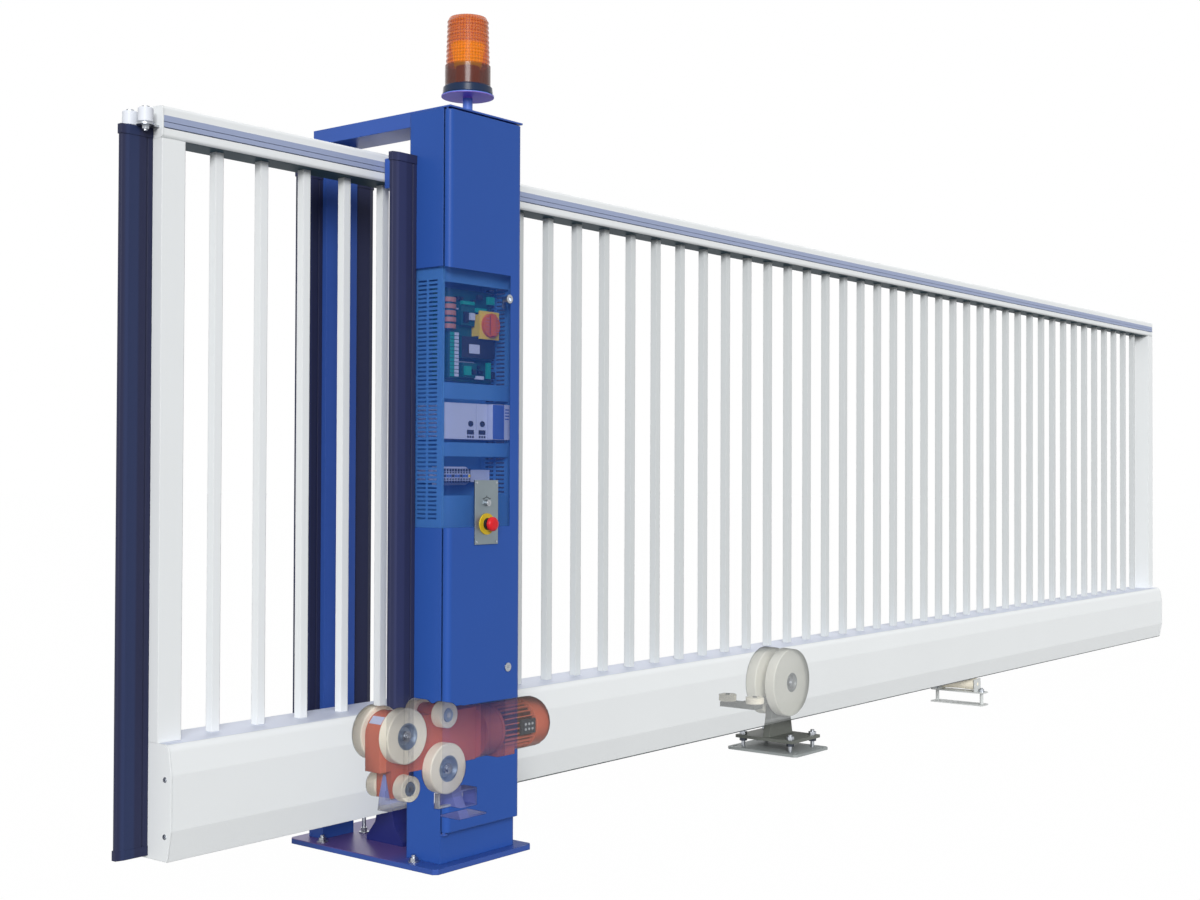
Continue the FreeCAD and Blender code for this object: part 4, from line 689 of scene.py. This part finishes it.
# %% Split finishes
def split(name, base, other, low, high, rough=0.4, glow=0.0):
    """Two colours on one piece, the second one inside a box."""
    finish = Finish(name)
    mask = finish.inside(low, high)
    cloud = finish.noise(20, 3)
    tone = finish.blend(mask, finish.blend(cloud, shade(base, 0.94), shade(base, 1.05)), other)
    normal = finish.relief(finish.noise(700, 2), 0.2, 0.0002, edge=0.0008)
    return finish.surface(Base_Color=tone, Roughness=rough + (cloud - 0.5) * 0.12, Normal=normal,
                          Specular_IOR_Level=0.3, Emission_Color=tone, Emission_Strength=glow)


NECK_DEEP = 0.0078
STEM_TALL = 0.0558
TRAY_THICK = 0.004
collar_low, collar_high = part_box("stop_collar")
FINISH["collar"] = split("stop_collar_plastic", tint(236, 200, 30), tint(30, 31, 36),
                         (None, collar_low.y - 0.01, None), (None, collar_low.y + NECK_DEEP, None))
lamp_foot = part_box("beacon_lamp")[0].z
# The glow of the lamp's bowl and stem is painted light.
FINISH["lamp"] = split("lamp_bowl_and_stem", tint(250, 178, 16), tint(120, 62, 44),
                       (None, None, lamp_foot - 0.01), (None, None, lamp_foot + STEM_TALL), rough=0.3,
                       glow=1.1)
tray_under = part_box("beacon_stand")[1].z - TRAY_THICK
# The violet band under the tray is a lighter tone painted for its shaded underside.
FINISH["tray"] = split("beacon_tray_paint", tint(84, 118, 200), tint(162, 118, 220),
                       (None, None, tray_under - 0.003), (None, None, tray_under + 0.0012), rough=0.45)
print("collar", round(collar_high.y - collar_low.y, 4), "m deep")

# %% [markdown]
# ## Which finish goes on which node
# Each solid of the model only needs its material, so a table is enough.

# %% Dress the solids
WEARS = {
    "door": ["door_panel"],
    "column": ["column_shell"],
    "plate": ["base_plate"],
    "blue": ["door_pivots", "column_lid", "crossbar", "rear_post", "guide_block"],
    "white": ["end_plates", "end_posts"],
    "bars": ["bars"],
    "rail": ["top_rail"],
    "beam": ["lower_beam"],
    "lilac": ["guide_strip"],
    "rubber": ["nose_edge"],
    "column_rubber": ["safety_edges"],
    "orange": ["gearbox"],
    "motor": ["motor"],
    "fan": ["fan_cover"],
    "cream": ["drive_wheels", "support_wheels", "high_rollers", "low_rollers", "side_roller_front",
              "side_roller_rear", "tail_roller"],
    "twin": ["twin_wheels"],
    "nose": ["nose_roller_front", "nose_roller_rear"],
    "hub": ["drive_axle", "support_axle"],
    "grey_hub": ["twin_axle"],
    "steel": ["key_switch", "upper_lock", "lower_lock", "nose_bracket", "block_studs"],
    "grey": ["block_stand"],
    "lit_base_grey": ["block_base"],
    "tail": ["tail_bracket", "tail_base"],
    "violet": ["drive_stand"],
    "lamp_base": ["beacon_base"],
    "tray": ["beacon_stand"],
    "amber": ["beacon_lens"],
    "lamp": ["beacon_lamp"],
    "panel": ["control_plate"],
    "collar": ["stop_collar"],
    "red": ["stop_button"],
    "knob": ["switch_knob"],
    "yellow": ["main_switch"],
    "chassis": ["control_chassis"],
    "board": ["circuit_board"],
    "pale": ["relay_modules", "terminal_strip"],
}
dressed = 0
for finish_name, nodes in WEARS.items():
    for node in nodes:
        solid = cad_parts[node]
        solid.data.materials.clear()
        solid.data.materials.append(FINISH[finish_name])
        dressed += 1
print(dressed, "of", len(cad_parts), "nodes dressed")

# %% [markdown]
# ## Screws, nuts and bolts
# Fasteners repeat, so one Geometry Nodes tree makes them all: a head with a chosen number of sides, a
# washer and a stub of thread, joined, turned to face outwards, and set on every point of a small mesh.
# The export keeps no instances, so the tree realizes them and the result becomes a plain mesh.

# %% Fastener tree
WASHER_SIDES = 24
STUB_SIDES = 12
INPUTS = {
    "Geometry": "NodeSocketGeometry",
    "Head sides": "NodeSocketInt",
    "Head radius": "NodeSocketFloat",
    "Head height": "NodeSocketFloat",
    "Washer radius": "NodeSocketFloat",
    "Washer height": "NodeSocketFloat",
    "Stub radius": "NodeSocketFloat",
    "Stub height": "NodeSocketFloat",
    "Turn": "NodeSocketVector",
    "Finish": "NodeSocketMaterial",
}
fastener = bpy.data.node_groups.new("fastener_row", "GeometryNodeTree")
fastener.interface.new_socket(name="Geometry", in_out="OUTPUT", socket_type="NodeSocketGeometry")
SOCKET_ID = {}
for label, kind in INPUTS.items():
    SOCKET_ID[label] = fastener.interface.new_socket(name=label, in_out="INPUT", socket_type=kind).identifier
rows = Graph(fastener)
source = rows.add("NodeGroupInput").socket.node
given = {label: Value(rows, source.outputs[label]) for label in INPUTS}


def drum(sides, radius, height, low):
    """A prism that stands on a height."""
    prism_sockets = {"Vertices": sides, "Radius": radius, "Depth": height}
    prism_node = rows.add("GeometryNodeMeshCylinder", sockets=prism_sockets)
    lift = rows.add("ShaderNodeCombineXYZ", sockets={"Z": low + height * 0.5})
    return rows.add("GeometryNodeTransform", sockets={"Geometry": prism_node, "Translation": lift})


head_foot = given["Washer height"]
stub_foot = head_foot + given["Head height"]
washer = drum(WASHER_SIDES, given["Washer radius"], given["Washer height"], 0.0)
head = drum(given["Head sides"], given["Head radius"], given["Head height"], head_foot)
stub = drum(STUB_SIDES, given["Stub radius"], given["Stub height"], stub_foot)
whole = rows.add("GeometryNodeJoinGeometry", sockets={"Geometry": [washer, head, stub]})
faced = rows.add("GeometryNodeTransform", sockets={"Geometry": whole, "Rotation": given["Turn"]})
points = rows.add("GeometryNodeMeshToPoints", sockets={"Mesh": given["Geometry"]})
spread = rows.add("GeometryNodeInstanceOnPoints", sockets={"Points": points, "Instance": faced})
solid_rows = rows.add("GeometryNodeRealizeInstances", sockets={"Geometry": spread})
painted = rows.add("GeometryNodeSetMaterial", sockets={"Geometry": solid_rows, "Material": given["Finish"]})
rows.add("NodeGroupOutput", sockets={"Geometry": painted})
print(len(fastener.nodes), "nodes in the fastener tree")

# %% [markdown]
# The helper below gives a set of points and sizes to the tree, evaluates it once, keeps the plain mesh
# and lets it ride on its body. Faces are named by the side they look to. Head, washer and stub are each a
# radius and a height, and a fastener without washer or stub gets ones too small to see.

# %% Fastener helper
FACING = {
    "up": (0, 0, 0),
    "down": (math.pi, 0, 0),
    "front": (math.pi / 2, 0, 0),
    "lead": (0, -math.pi / 2, 0),
}
NO_WASHER = (0.0005, 0.0001)
NO_STUB = (0.0004, 0.0001)


def fasten(name, body, finish, spots, facing, head, washer=NO_WASHER, stub=NO_STUB, sides=6):
    """Set one kind of fastener on each spot and let the lot ride on a body."""
    mesh = bpy.data.meshes.new(name)
    mesh.from_pydata([tuple(spot) for spot in spots], [], [])
    piece = bpy.data.objects.new(name, mesh)
    bpy.context.scene.collection.objects.link(piece)
    modifier = piece.modifiers.new("rows", "NODES")
    modifier.node_group = fastener
    values = {"Head sides": sides, "Head radius": head[0], "Head height": head[1], "Washer radius": washer[0],
              "Washer height": washer[1], "Stub radius": stub[0], "Stub height": stub[1],
              "Turn": FACING[facing], "Finish": FINISH[finish]}
    for label, value in values.items():
        modifier[SOCKET_ID[label]] = value
    piece.data.update()
    graph = bpy.context.evaluated_depsgraph_get()
    plain = bpy.data.meshes.new_from_object(piece.evaluated_get(graph))
    piece.modifiers.clear()
    piece.data = plain
    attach(piece, body)
    print(name, len(plain.polygons), "faces")


print(len(FACING), "sides to face")

# %% [markdown]
# ## Bolts of the portal
# Four anchor bolts hold the base plate at its corners, and two taller studs stand on it beside the stand.
# They could be solids of the model, but thread and washers are trim, so they come from the tree.

# %% Anchor bolts and base studs
plate_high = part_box("base_plate")[1]
anchor_x = plate_high.x - 0.030
anchor_y = 0.187
anchor_spots = [(sx * anchor_x, sy * anchor_y, plate_high.z) for sx in (-1, 1) for sy in (-1, 1)]
fasten("anchor_bolts", "portal", "steel", anchor_spots, "up",
       head=(0.0115, 0.009), washer=(0.0165, 0.003), stub=(0.006, 0.007))
stud_feet = [(0.016, 0.100, plate_high.z), (-0.012, 0.182, plate_high.z)]
fasten("base_studs", "portal", "steel", stud_feet, "up",
       head=(0.010, 0.012), washer=(0.015, 0.003), stub=(0.006, 0.030))

# %% [markdown]
# ## Screws on plates and hubs
# Small screws with round heads hold the operating plate and the end of the beam. Each wheel hub has one
# bolt in its middle, which rides on the wheel so that it turns with it.

# %% Screws on the operating plate, the beam end and the hubs
panel_low, panel_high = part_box("control_plate")
inset = 0.007
panel_spots = [(x, panel_low.y, z) for x in (panel_low.x + inset, panel_high.x - inset)
               for z in (panel_low.z + inset, panel_high.z - inset)]
fasten("plate_screws", "door", "steel", panel_spots, "front", head=(0.003, 0.0015), sides=16)
beam_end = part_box("end_plates")[0].x
end_spots = [(beam_end, LEAF + side * 0.082, z) for side in (-1, 1) for z in (0.19, 0.33)]
fasten("beam_end_screws", "leaf", "steel", end_spots, "lead",
       head=(0.005, 0.002), washer=(0.007, 0.001), sides=16)
hub_dish = 0.003
for axle, body in (("drive_axle", "drive_wheels"), ("support_axle", "support_wheels")):
    low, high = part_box(axle)
    centre = (low + high) / 2
    fasten(axle + "_bolt", body, "steel", [(centre.x, low.y + hub_dish, centre.z)], "front",
           head=(0.011, 0.006), washer=(0.0165, 0.0015), stub=(0.005, 0.002))
low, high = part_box("twin_axle")
centre = (low + high) / 2
fasten("twin_axle_cap", "twin_wheels", "steel", [(centre.x, low.y + hub_dish, centre.z)],
       "front",
       head=(0.013, 0.003), washer=(0.016, 0.001), stub=(0.006, 0.001), sides=24)

# %% [markdown]
# ## Nuts at the rollers and on the studs
# The guide rollers at the leading end hang on pins with a nut below. The roller block is levelled by nuts
# above and below its plate, and the tail roller's bracket is held by two more.

# %% Nuts
nose_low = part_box("nose_bracket")[0]
pin_x = nose_low.x + 0.022
nose_spots = [(pin_x, LEAF + side * 0.0325, nose_low.z) for side in (-1, 1)]
fasten("nose_nuts", "leaf", "steel", nose_spots, "down",
       head=(0.0095, 0.008), washer=(0.012, 0.0015), stub=(0.005, 0.004))
stud_low, stud_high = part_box("block_studs")
stud_radius = 0.013
plate_heights = {"high": 0.058, "low": 0.0335}
stud_places = [(x, y) for x in (stud_low.x + stud_radius, stud_high.x - stud_radius)
               for y in (stud_low.y + stud_radius, stud_high.y - stud_radius)]
high_spots = [(x, y, plate_heights["high"]) for x, y in stud_places]
fasten("stud_nuts_high", "portal", "steel", high_spots, "up", head=(0.0152, 0.0125))
low_spots = [(x, y, plate_heights["low"]) for x, y in stud_places]
fasten("stud_nuts_low", "portal", "dark_steel", low_spots, "up", head=(0.0152, 0.0125))
tail_low, tail_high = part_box("tail_base")
tail_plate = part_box("tail_bracket")[0].z + 0.006
tail_spots = [((tail_low.x + tail_high.x) / 2, y, tail_plate)
              for y in (tail_low.y + 0.018, tail_high.y - 0.018)]
fasten("tail_nuts", "portal", "steel", tail_spots, "up",
       head=(0.012, 0.010), washer=(0.015, 0.002), stub=(0.007, 0.006))

# %% [markdown]
# ## Small shapes
# Knobs, plates and blocks of the control gear are one of a kind. `Piece` collects bevelled blocks, rods
# and arcs in one mesh, each with its own finish, and hands it over to its body.


# %% Piece helper
class Piece:
    """A mesh made of several small solids with their own finishes."""

    def __init__(self, name):
        self.name = name
        self.form = bmesh.new()
        self.finishes = []

    def paint(self, faces, finish):
        if finish not in self.finishes:
            self.finishes.append(finish)
        for face in faces:
            face.material_index = self.finishes.index(finish)

    def block(self, low, high, finish, round_off):
        """A box between two corners, with its edges rounded off."""
        size = [high[k] - low[k] for k in range(3)]
        middle = [(high[k] + low[k]) / 2 for k in range(3)]
        place = Matrix.Translation(middle) @ Matrix.Diagonal((*size, 1))
        verts = bmesh.ops.create_cube(self.form, size=1, matrix=place)["verts"]
        edges = {edge for vert in verts for edge in vert.link_edges}
        bevel = bmesh.ops.bevel(self.form, geom=list(edges), offset=round_off, segments=2, profile=0.5,
                                affect="EDGES")
        faces = {face for vert in bevel["verts"] for face in vert.link_faces}
        self.paint(faces, finish)

    def rod(self, start, end, radius, finish, tip=None, sides=28):
        """A round rod between two points. A tip radius makes it taper."""
        start, end = Vector(start), Vector(end)
        run = end - start
        turn_to = Vector((0, 0, 1)).rotation_difference(run.normalized()).to_matrix().to_4x4()
        place = Matrix.Translation((start + end) / 2) @ turn_to
        made = bmesh.ops.create_cone(self.form, cap_ends=True, segments=sides, radius1=radius,
                                     radius2=radius if tip is None else tip, depth=run.length, matrix=place)
        faces = {face for vert in made["verts"] for face in vert.link_faces}
        self.paint(faces, finish)

    def arc(self, centre, inner, outer, thick, start, end, finish, steps=24):
        """A flat arc that faces the front, between two angles in degrees from the right."""
        rings = []
        for k in range(steps + 1):
            bearing = math.radians(start + (end - start) * k / steps)
            ring = []
            for depth, radius in ((0, inner), (0, outer), (-thick, outer), (-thick, inner)):
                spot = (centre[0] + radius * math.cos(bearing), centre[1] + depth,
                        centre[2] + radius * math.sin(bearing))
                ring.append(self.form.verts.new(spot))
            rings.append(ring)
        faces = [self.form.faces.new(rings[0]), self.form.faces.new(rings[-1])]
        for first, second in zip(rings, rings[1:]):
            for k in range(4):
                quad = (first[k], first[(k + 1) % 4], second[(k + 1) % 4], second[k])
                faces.append(self.form.faces.new(quad))
        self.paint(faces, finish)

    def done(self, body, slot):
        """The mesh, with its normals outwards, on its body."""
        bmesh.ops.recalc_face_normals(self.form, faces=self.form.faces)
        mesh = bpy.data.meshes.new(self.name)
        self.form.to_mesh(mesh)
        self.form.free()
        for finish in self.finishes:
            mesh.materials.append(FINISH[finish])
        piece = bpy.data.objects.new(self.name, mesh)
        bpy.context.scene.collection.objects.link(piece)
        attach(piece, body)
        print(self.name, len(mesh.polygons), "faces")


CRISP = 0.0004
print("blocks are rounded off by", CRISP, "m")

# %% [markdown]
# ## Operating plate marks
# The key barrel sits under a printed arc that shows how far it turns. A thin raised arc with three ticks
# is enough at this size.

# %% Key arc
ARC_START = 40
ARC_END = 140
ARC_INNER = 0.0150
ARC_OUTER = 0.0168
TICK_OUTER = 0.0205
key_low, key_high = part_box("key_switch")
key_mid = Vector((0, panel_low.y, (key_low.z + key_high.z) / 2))
marks = Piece("key_arc")
marks.arc(key_mid, ARC_INNER, ARC_OUTER, CRISP, ARC_START, ARC_END, "black")
for bearing in (ARC_START, 90, ARC_END):
    marks.arc(key_mid, ARC_OUTER, TICK_OUTER, CRISP, bearing - 3, bearing + 3, "black", steps=2)
marks.done("door", "base_black")

# %% [markdown]
# ## Control gear
# Behind the door a chassis holds a circuit board with a resistor bank, two relay modules, a supply and
# a row of terminals. The solids give their bulk. These pieces add what tells them apart. On the modules
# those are a knob, a display and three buttons each, and the supply has a blue front with four slots.

# %% Relay modules and supply
module_low, module_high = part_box("relay_modules")
unit_front = module_low.y + 0.017
unit_foot = module_low.z
knob_height = unit_foot + 0.044
units = Piece("module_fronts")
for x in (-0.0165, 0.0316):
    units.rod((x, unit_front, knob_height), (x, unit_front - 0.005, knob_height), 0.0085, "black", tip=0.0075)
    units.block((x - 0.014, unit_front - 0.0012, unit_foot + 0.0135),
                (x + 0.014, unit_front, unit_foot + 0.0265), "black", CRISP)
    for k in (-1, 0, 1):
        units.block((x + 0.010 * k - 0.0028, unit_front - 0.002, unit_foot + 0.004),
                    (x + 0.010 * k + 0.0028, unit_front, unit_foot + 0.010), "black", CRISP)
units.block((0.0585, module_low.y - 0.001, module_low.z + 0.001),
            (0.106, module_low.y, module_high.z - 0.001), "module_blue", CRISP)
for k in range(4):
    units.block((0.110, module_low.y - 0.0006, module_high.z - 0.016 - 0.009 * k),
                (0.127, module_low.y, module_high.z - 0.0125 - 0.009 * k), "module_blue", CRISP / 2)
units.done("portal", "module_grey")

# %% [markdown]
# ## Circuit board
# A board is told by its crowd of small parts: a double row of plug connectors, a dark relay with a bare
# pale label, chips and sockets, round capacitors, and a bank of ceramic resistors at its left edge. Chips
# are a table of places and sizes on the board's face, counted from its lower edge.

# %% Connectors, chips and capacitors
board_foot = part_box("circuit_board")[0].z
board_face = -0.205
chip_front = board_face - 0.024
CHIPS = (
    (-0.020, 0.168, 0.016, 0.030, "black"), (0.004, 0.176, 0.018, 0.020, "pale"),
    (-0.018, 0.018, 0.026, 0.026, "teal"), (0.014, 0.022, 0.014, 0.014, "black"),
    (0.030, 0.200, 0.040, 0.012, "teal"), (-0.030, 0.218, 0.050, 0.010, "teal"),
    (0.076, 0.012, 0.013, 0.046, "teal"), (0.094, 0.070, 0.012, 0.052, "black"),
    (0.030, 0.008, 0.030, 0.010, "pale"), (0.094, 0.012, 0.014, 0.020, "black"),
    (0.034, 0.236, 0.020, 0.014, "black"), (0.078, 0.226, 0.026, 0.022, "teal"),
)
CAPACITORS = ((0.050, 0.030), (0.064, 0.030), (0.050, 0.044), (-0.036, 0.236), (-0.020, 0.236),
              (0.030, 0.232))
parts = Piece("board_parts")
for k in range(12):
    z = board_foot + 0.012 + 0.0105 * k
    parts.block((-0.081, board_face - 0.0262, z), (-0.065, chip_front, z + 0.0085), "teal", CRISP)
    parts.block((-0.063, board_face - 0.0262, z), (-0.047, chip_front, z + 0.0085), "pale", CRISP)
parts.block((-0.010, board_face - 0.0312, board_foot + 0.080),
            (0.034, board_face - 0.030, board_foot + 0.106), "pale", CRISP)
parts.block((-0.040, board_face - 0.0308, board_foot + 0.067),
            (0.088, board_face - 0.0302, board_foot + 0.127), "black", CRISP)
for left, foot, wide, tall, finish_name in CHIPS:
    parts.block((left, chip_front, board_foot + foot),
                (left + wide, board_face - 0.014, board_foot + foot + tall), finish_name, 0.0006)
for x, foot in CAPACITORS:
    parts.rod((x, board_face, board_foot + foot), (x, board_face - 0.014, board_foot + foot), 0.0052,
              "dark_steel", tip=0.0050)
parts.done("portal", "board_green")

# %% Pins and resistor bank
pin_spots = [(0.094 + 0.006 * (k % 3), board_face, board_foot + 0.136 + 0.009 * (k // 3)) for k in range(18)]
pin_spots += [(-0.036 + 0.008 * k, board_face, board_foot + 0.206) for k in range(8)]
pin_spots += [(-0.034 + 0.007 * k, board_face, board_foot + 0.056) for k in range(11)]
fasten("board_pins", "portal", "pale", pin_spots, "front", head=(0.0026, 0.006), sides=4)
bank_x = -0.085
bank_y = board_face - 0.019
bank = Piece("resistor_discs")
for k in range(5):
    z = 1.489 + 0.0186 * k + 0.003
    bank.rod((bank_x, bank_y, z - 0.0003), (bank_x, bank_y, z + 0.0123), 0.0233, "ceramic", sides=40)
bank.done("portal", "module_grey")

# %% [markdown]
# ## Terminals
# A terminal row is ten narrow blocks side by side. Each has a coloured bridge in its middle, dark mouths for
# wires above and below, painted shade in the openings, a dark gap to its neighbour and two screws. The last
# one is the yellow earth.

# %% Terminal caps and screws
strip_low, strip_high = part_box("terminal_strip")
strip_front = strip_low.y
strip_mid = (strip_low.z + strip_high.z) / 2
MOUTH_SHADES = ((0.0125, 0.0205), (-0.0190, -0.0130))
caps = Piece("terminal_caps")
ways = [-0.113 + 0.011 * k for k in range(10)]
for k, x in enumerate(ways):
    tone = "yellow" if k == 9 else "module_blue" if k % 3 else "black"
    caps.block((x + 0.0005, strip_front - 0.0012, strip_mid - 0.0040),
               (x + 0.0085, strip_front, strip_mid + 0.0040), tone, CRISP)
    # Dark mouths for wires, painted shade in the openings.
    for low, high in MOUTH_SHADES:
        caps.block((x + 0.0012, strip_front - 0.0010, strip_mid + low),
                   (x + 0.0078, strip_front, strip_mid + high), "black", 0.0003)
    caps.block((x + 0.0093, strip_front - 0.0004, strip_mid - 0.0215),
               (x + 0.0102, strip_front, strip_mid + 0.0215), "dark_steel", 0.0001)
caps.done("portal", "module_grey")
screw_spots = [(x + 0.0045, strip_front, strip_mid + side * 0.009) for x in ways for side in (-1, 1)]
fasten("terminal_screws", "portal", "dark_steel", screw_spots, "front",
       head=(0.0028, 0.001), sides=12)

# %% [markdown]
# ## Main switch knob
# The knob has a raised grip across a round dial. Dark lines of painted shade run along both sides of the
# grip, and pale ridges lie on the dial beside it. They are thin blocks that ride on the knob and turn with
# it.

# %% Knob ridges
GRIP_HALF = 0.0085
RIDGE_OUT = 0.0185
RIDGE_GAP = 0.0095
knob_low, knob_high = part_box("switch_knob")
knob_mid = (knob_low + knob_high) / 2
dial = knob_high.y - 0.0095
ridges = Piece("knob_ridges")
for side in (-1, 1):
    x = knob_mid.x + side * GRIP_HALF
    # A dark line of painted shade along the grip.
    ridges.block((x - 0.0010, dial - 0.0006, knob_mid.z - 0.029), (x + 0.0010, dial, knob_mid.z + 0.029),
                 "black", 0.0002)
    x = knob_mid.x + side * RIDGE_OUT
    for k in range(-2, 3):
        z = knob_mid.z + RIDGE_GAP * k
        ridges.block((x - 0.0075, dial - 0.0010, z - 0.0012), (x + 0.0075, dial, z + 0.0012), "ceramic",
                     0.0003)
ridges.done("main_knob", "stop_red")

# %% [markdown]
# ## Caps of the small rollers
# The small rollers of the drive have a steel cap with a six-sided bolt on both ends. The caps ride on the
# rollers and turn with them.

# %% Roller caps
for (x, z), body in ((HIGH_AXLE, "high_rollers"), (LOW_AXLE, "low_rollers")):
    cap = Piece(body + "_caps")
    for side in (-1, 1):
        cap.rod((x, LEAF + side * 0.067, z), (x, LEAF + side * 0.0725, z), 0.0215, "hub", tip=0.0195)
        cap.rod((x, LEAF + side * 0.0725, z), (x, LEAF + side * 0.0738, z), 0.0100, "steel", sides=6)
    cap.done(body, "bright_steel")

# %% [markdown]
# ## Drive fittings
# The motor has a dark connection plate with six terminals on its fins and a cable gland below, and dark
# sleeves sit behind the small rollers. A pale bent bar hangs at the bracket under the support wheel. The
# gearbox carries a bare plate on its barrel, which is made flat and then leant against the round.

# %% Plates and sleeves on the drive
fittings = Piece("drive_fittings")
for side in (-1, 1):
    for x, z in (HIGH_AXLE, LOW_AXLE):
        fittings.rod((x, LEAF + side * 0.0305, z), (x, LEAF + side * 0.0362, z), 0.017, "dark_steel")
fittings.block((0.434, LEAF - 0.084, 0.272), (0.502, LEAF - 0.074, 0.318), "black", 0.002)
fittings.block((0.444, LEAF - 0.0852, 0.280), (0.492, LEAF - 0.0838, 0.310), "dark_steel", CRISP)
for x in (0.452, 0.468, 0.484):
    for z in (0.287, 0.303):
        fittings.rod((x, LEAF - 0.0850, z), (x, LEAF - 0.0872, z), 0.0042, "steel", tip=0.0036, sides=12)
fittings.rod((0.386, LEAF - 0.030, 0.206), (0.386, LEAF - 0.030, 0.194), 0.011, "black", tip=0.009)
fittings.block((0.130, LEAF - 0.024, 0.083), (0.184, LEAF - 0.006, 0.089), "white", 0.001)
fittings.block((0.130, LEAF - 0.024, 0.089), (0.136, LEAF - 0.006, 0.128), "white", 0.001)
fittings.done("portal", "bright_steel")

# %% Plate on the gearbox
BARREL_RADIUS = 0.068
PLATE_LEAN = math.radians(-48)
label = Piece("gear_plate")
label.block((-0.013, -0.024, 0.0), (0.013, 0.024, 0.0015), "pale", CRISP)
axis = Matrix.Translation((DRIVE_AXLE[0], LEAF, DRIVE_AXLE[1]))
lean = axis @ Matrix.Rotation(PLATE_LEAN, 4, "Y") @ Matrix.Translation((0, 0, BARREL_RADIUS))
bmesh.ops.transform(label.form, matrix=lean, verts=label.form.verts)
label.done("portal", "panel_grey")

# %% [markdown]
# ## Floor
# The floor is white where the camera, a mirror or a glass looks at it, and a dull grey for the light that
# it throws back at the gate. Light Path tells the two apart. A small share of the dull floor is left in
# what the camera sees, so the gate keeps its shadow.


# %% Floor
def looked_at(graph):
    """One for what the camera, a mirror or a glass sees, and nothing for light on the gate."""
    rays = graph.add("ShaderNodeLightPath").socket.node
    seen = Value(graph, rays.outputs["Is Camera Ray"])
    for ray in ("Is Glossy Ray", "Is Transmission Ray"):
        seen = graph.maths("MAXIMUM", seen, Value(graph, rays.outputs[ray]))
    return seen


PURE_WHITE = (1, 1, 1, 1)
WHITE_SHARE = 0.96
FLOOR_GLOW = 1.03
floor = Finish("studio_floor")
floor_seen = looked_at(floor)
dust = floor.noise(1.5, 3)
floor_tone = floor.blend(dust, (0.24, 0.24, 0.24, 1), (0.28, 0.28, 0.28, 1))
matt = floor.add("ShaderNodeBsdfDiffuse", sockets={"Color": floor_tone})
glow = floor.add("ShaderNodeEmission", sockets={"Color": PURE_WHITE, "Strength": FLOOR_GLOW})
mixed = floor.add("ShaderNodeMixShader", sockets={0: floor_seen * WHITE_SHARE, 1: matt, 2: glow})
floor.add("ShaderNodeOutputMaterial", sockets={"Surface": mixed})
bpy.ops.mesh.primitive_plane_add(size=120, location=(0, 0, -0.0005))
ground = bpy.context.object
ground.name = "studio_floor"
ground.data.materials.append(floor.material)
print("floor", tuple(ground.dimensions))

# %% [markdown]
# ## World and light
# The world is white to look at too, and lends the gate only a plain level of light. Two broad suns stand
# for studio lamps, because the leaf is seven metres long and a near lamp would fade along it.

# %% World and lamps
FILL_LIGHT = 0.52
world = bpy.data.worlds.new("studio")
bpy.context.scene.world = world
world.use_nodes = True
sky = Graph(world.node_tree)
sky.tree.nodes.clear()
sky_seen = looked_at(sky)
backdrop = sky.add("ShaderNodeBackground", sockets={"Color": PURE_WHITE, "Strength": 1.0})
fill = sky.add("ShaderNodeBackground", sockets={"Color": PURE_WHITE, "Strength": FILL_LIGHT})
mixed = sky.add("ShaderNodeMixShader", sockets={0: sky_seen, 1: fill, 2: backdrop})
sky.add("ShaderNodeOutputWorld", sockets={"Surface": mixed})


def sun(name, toward, strength, softness):
    """A broad lamp that shines the same on the whole leaf."""
    light = bpy.data.lights.new(name, "SUN")
    light.energy = strength
    light.angle = math.radians(softness)
    lamp = bpy.data.objects.new(name, light)
    lamp.rotation_euler = Vector(toward).to_track_quat("-Z", "Y").to_euler()
    bpy.context.scene.collection.objects.link(lamp)
    print(name, strength)


sun("key_lamp", (0.69, 0.65, -0.30), strength=2.75, softness=24)
sun("back_lamp", (-0.5, -0.62, -0.6), strength=0.5, softness=60)
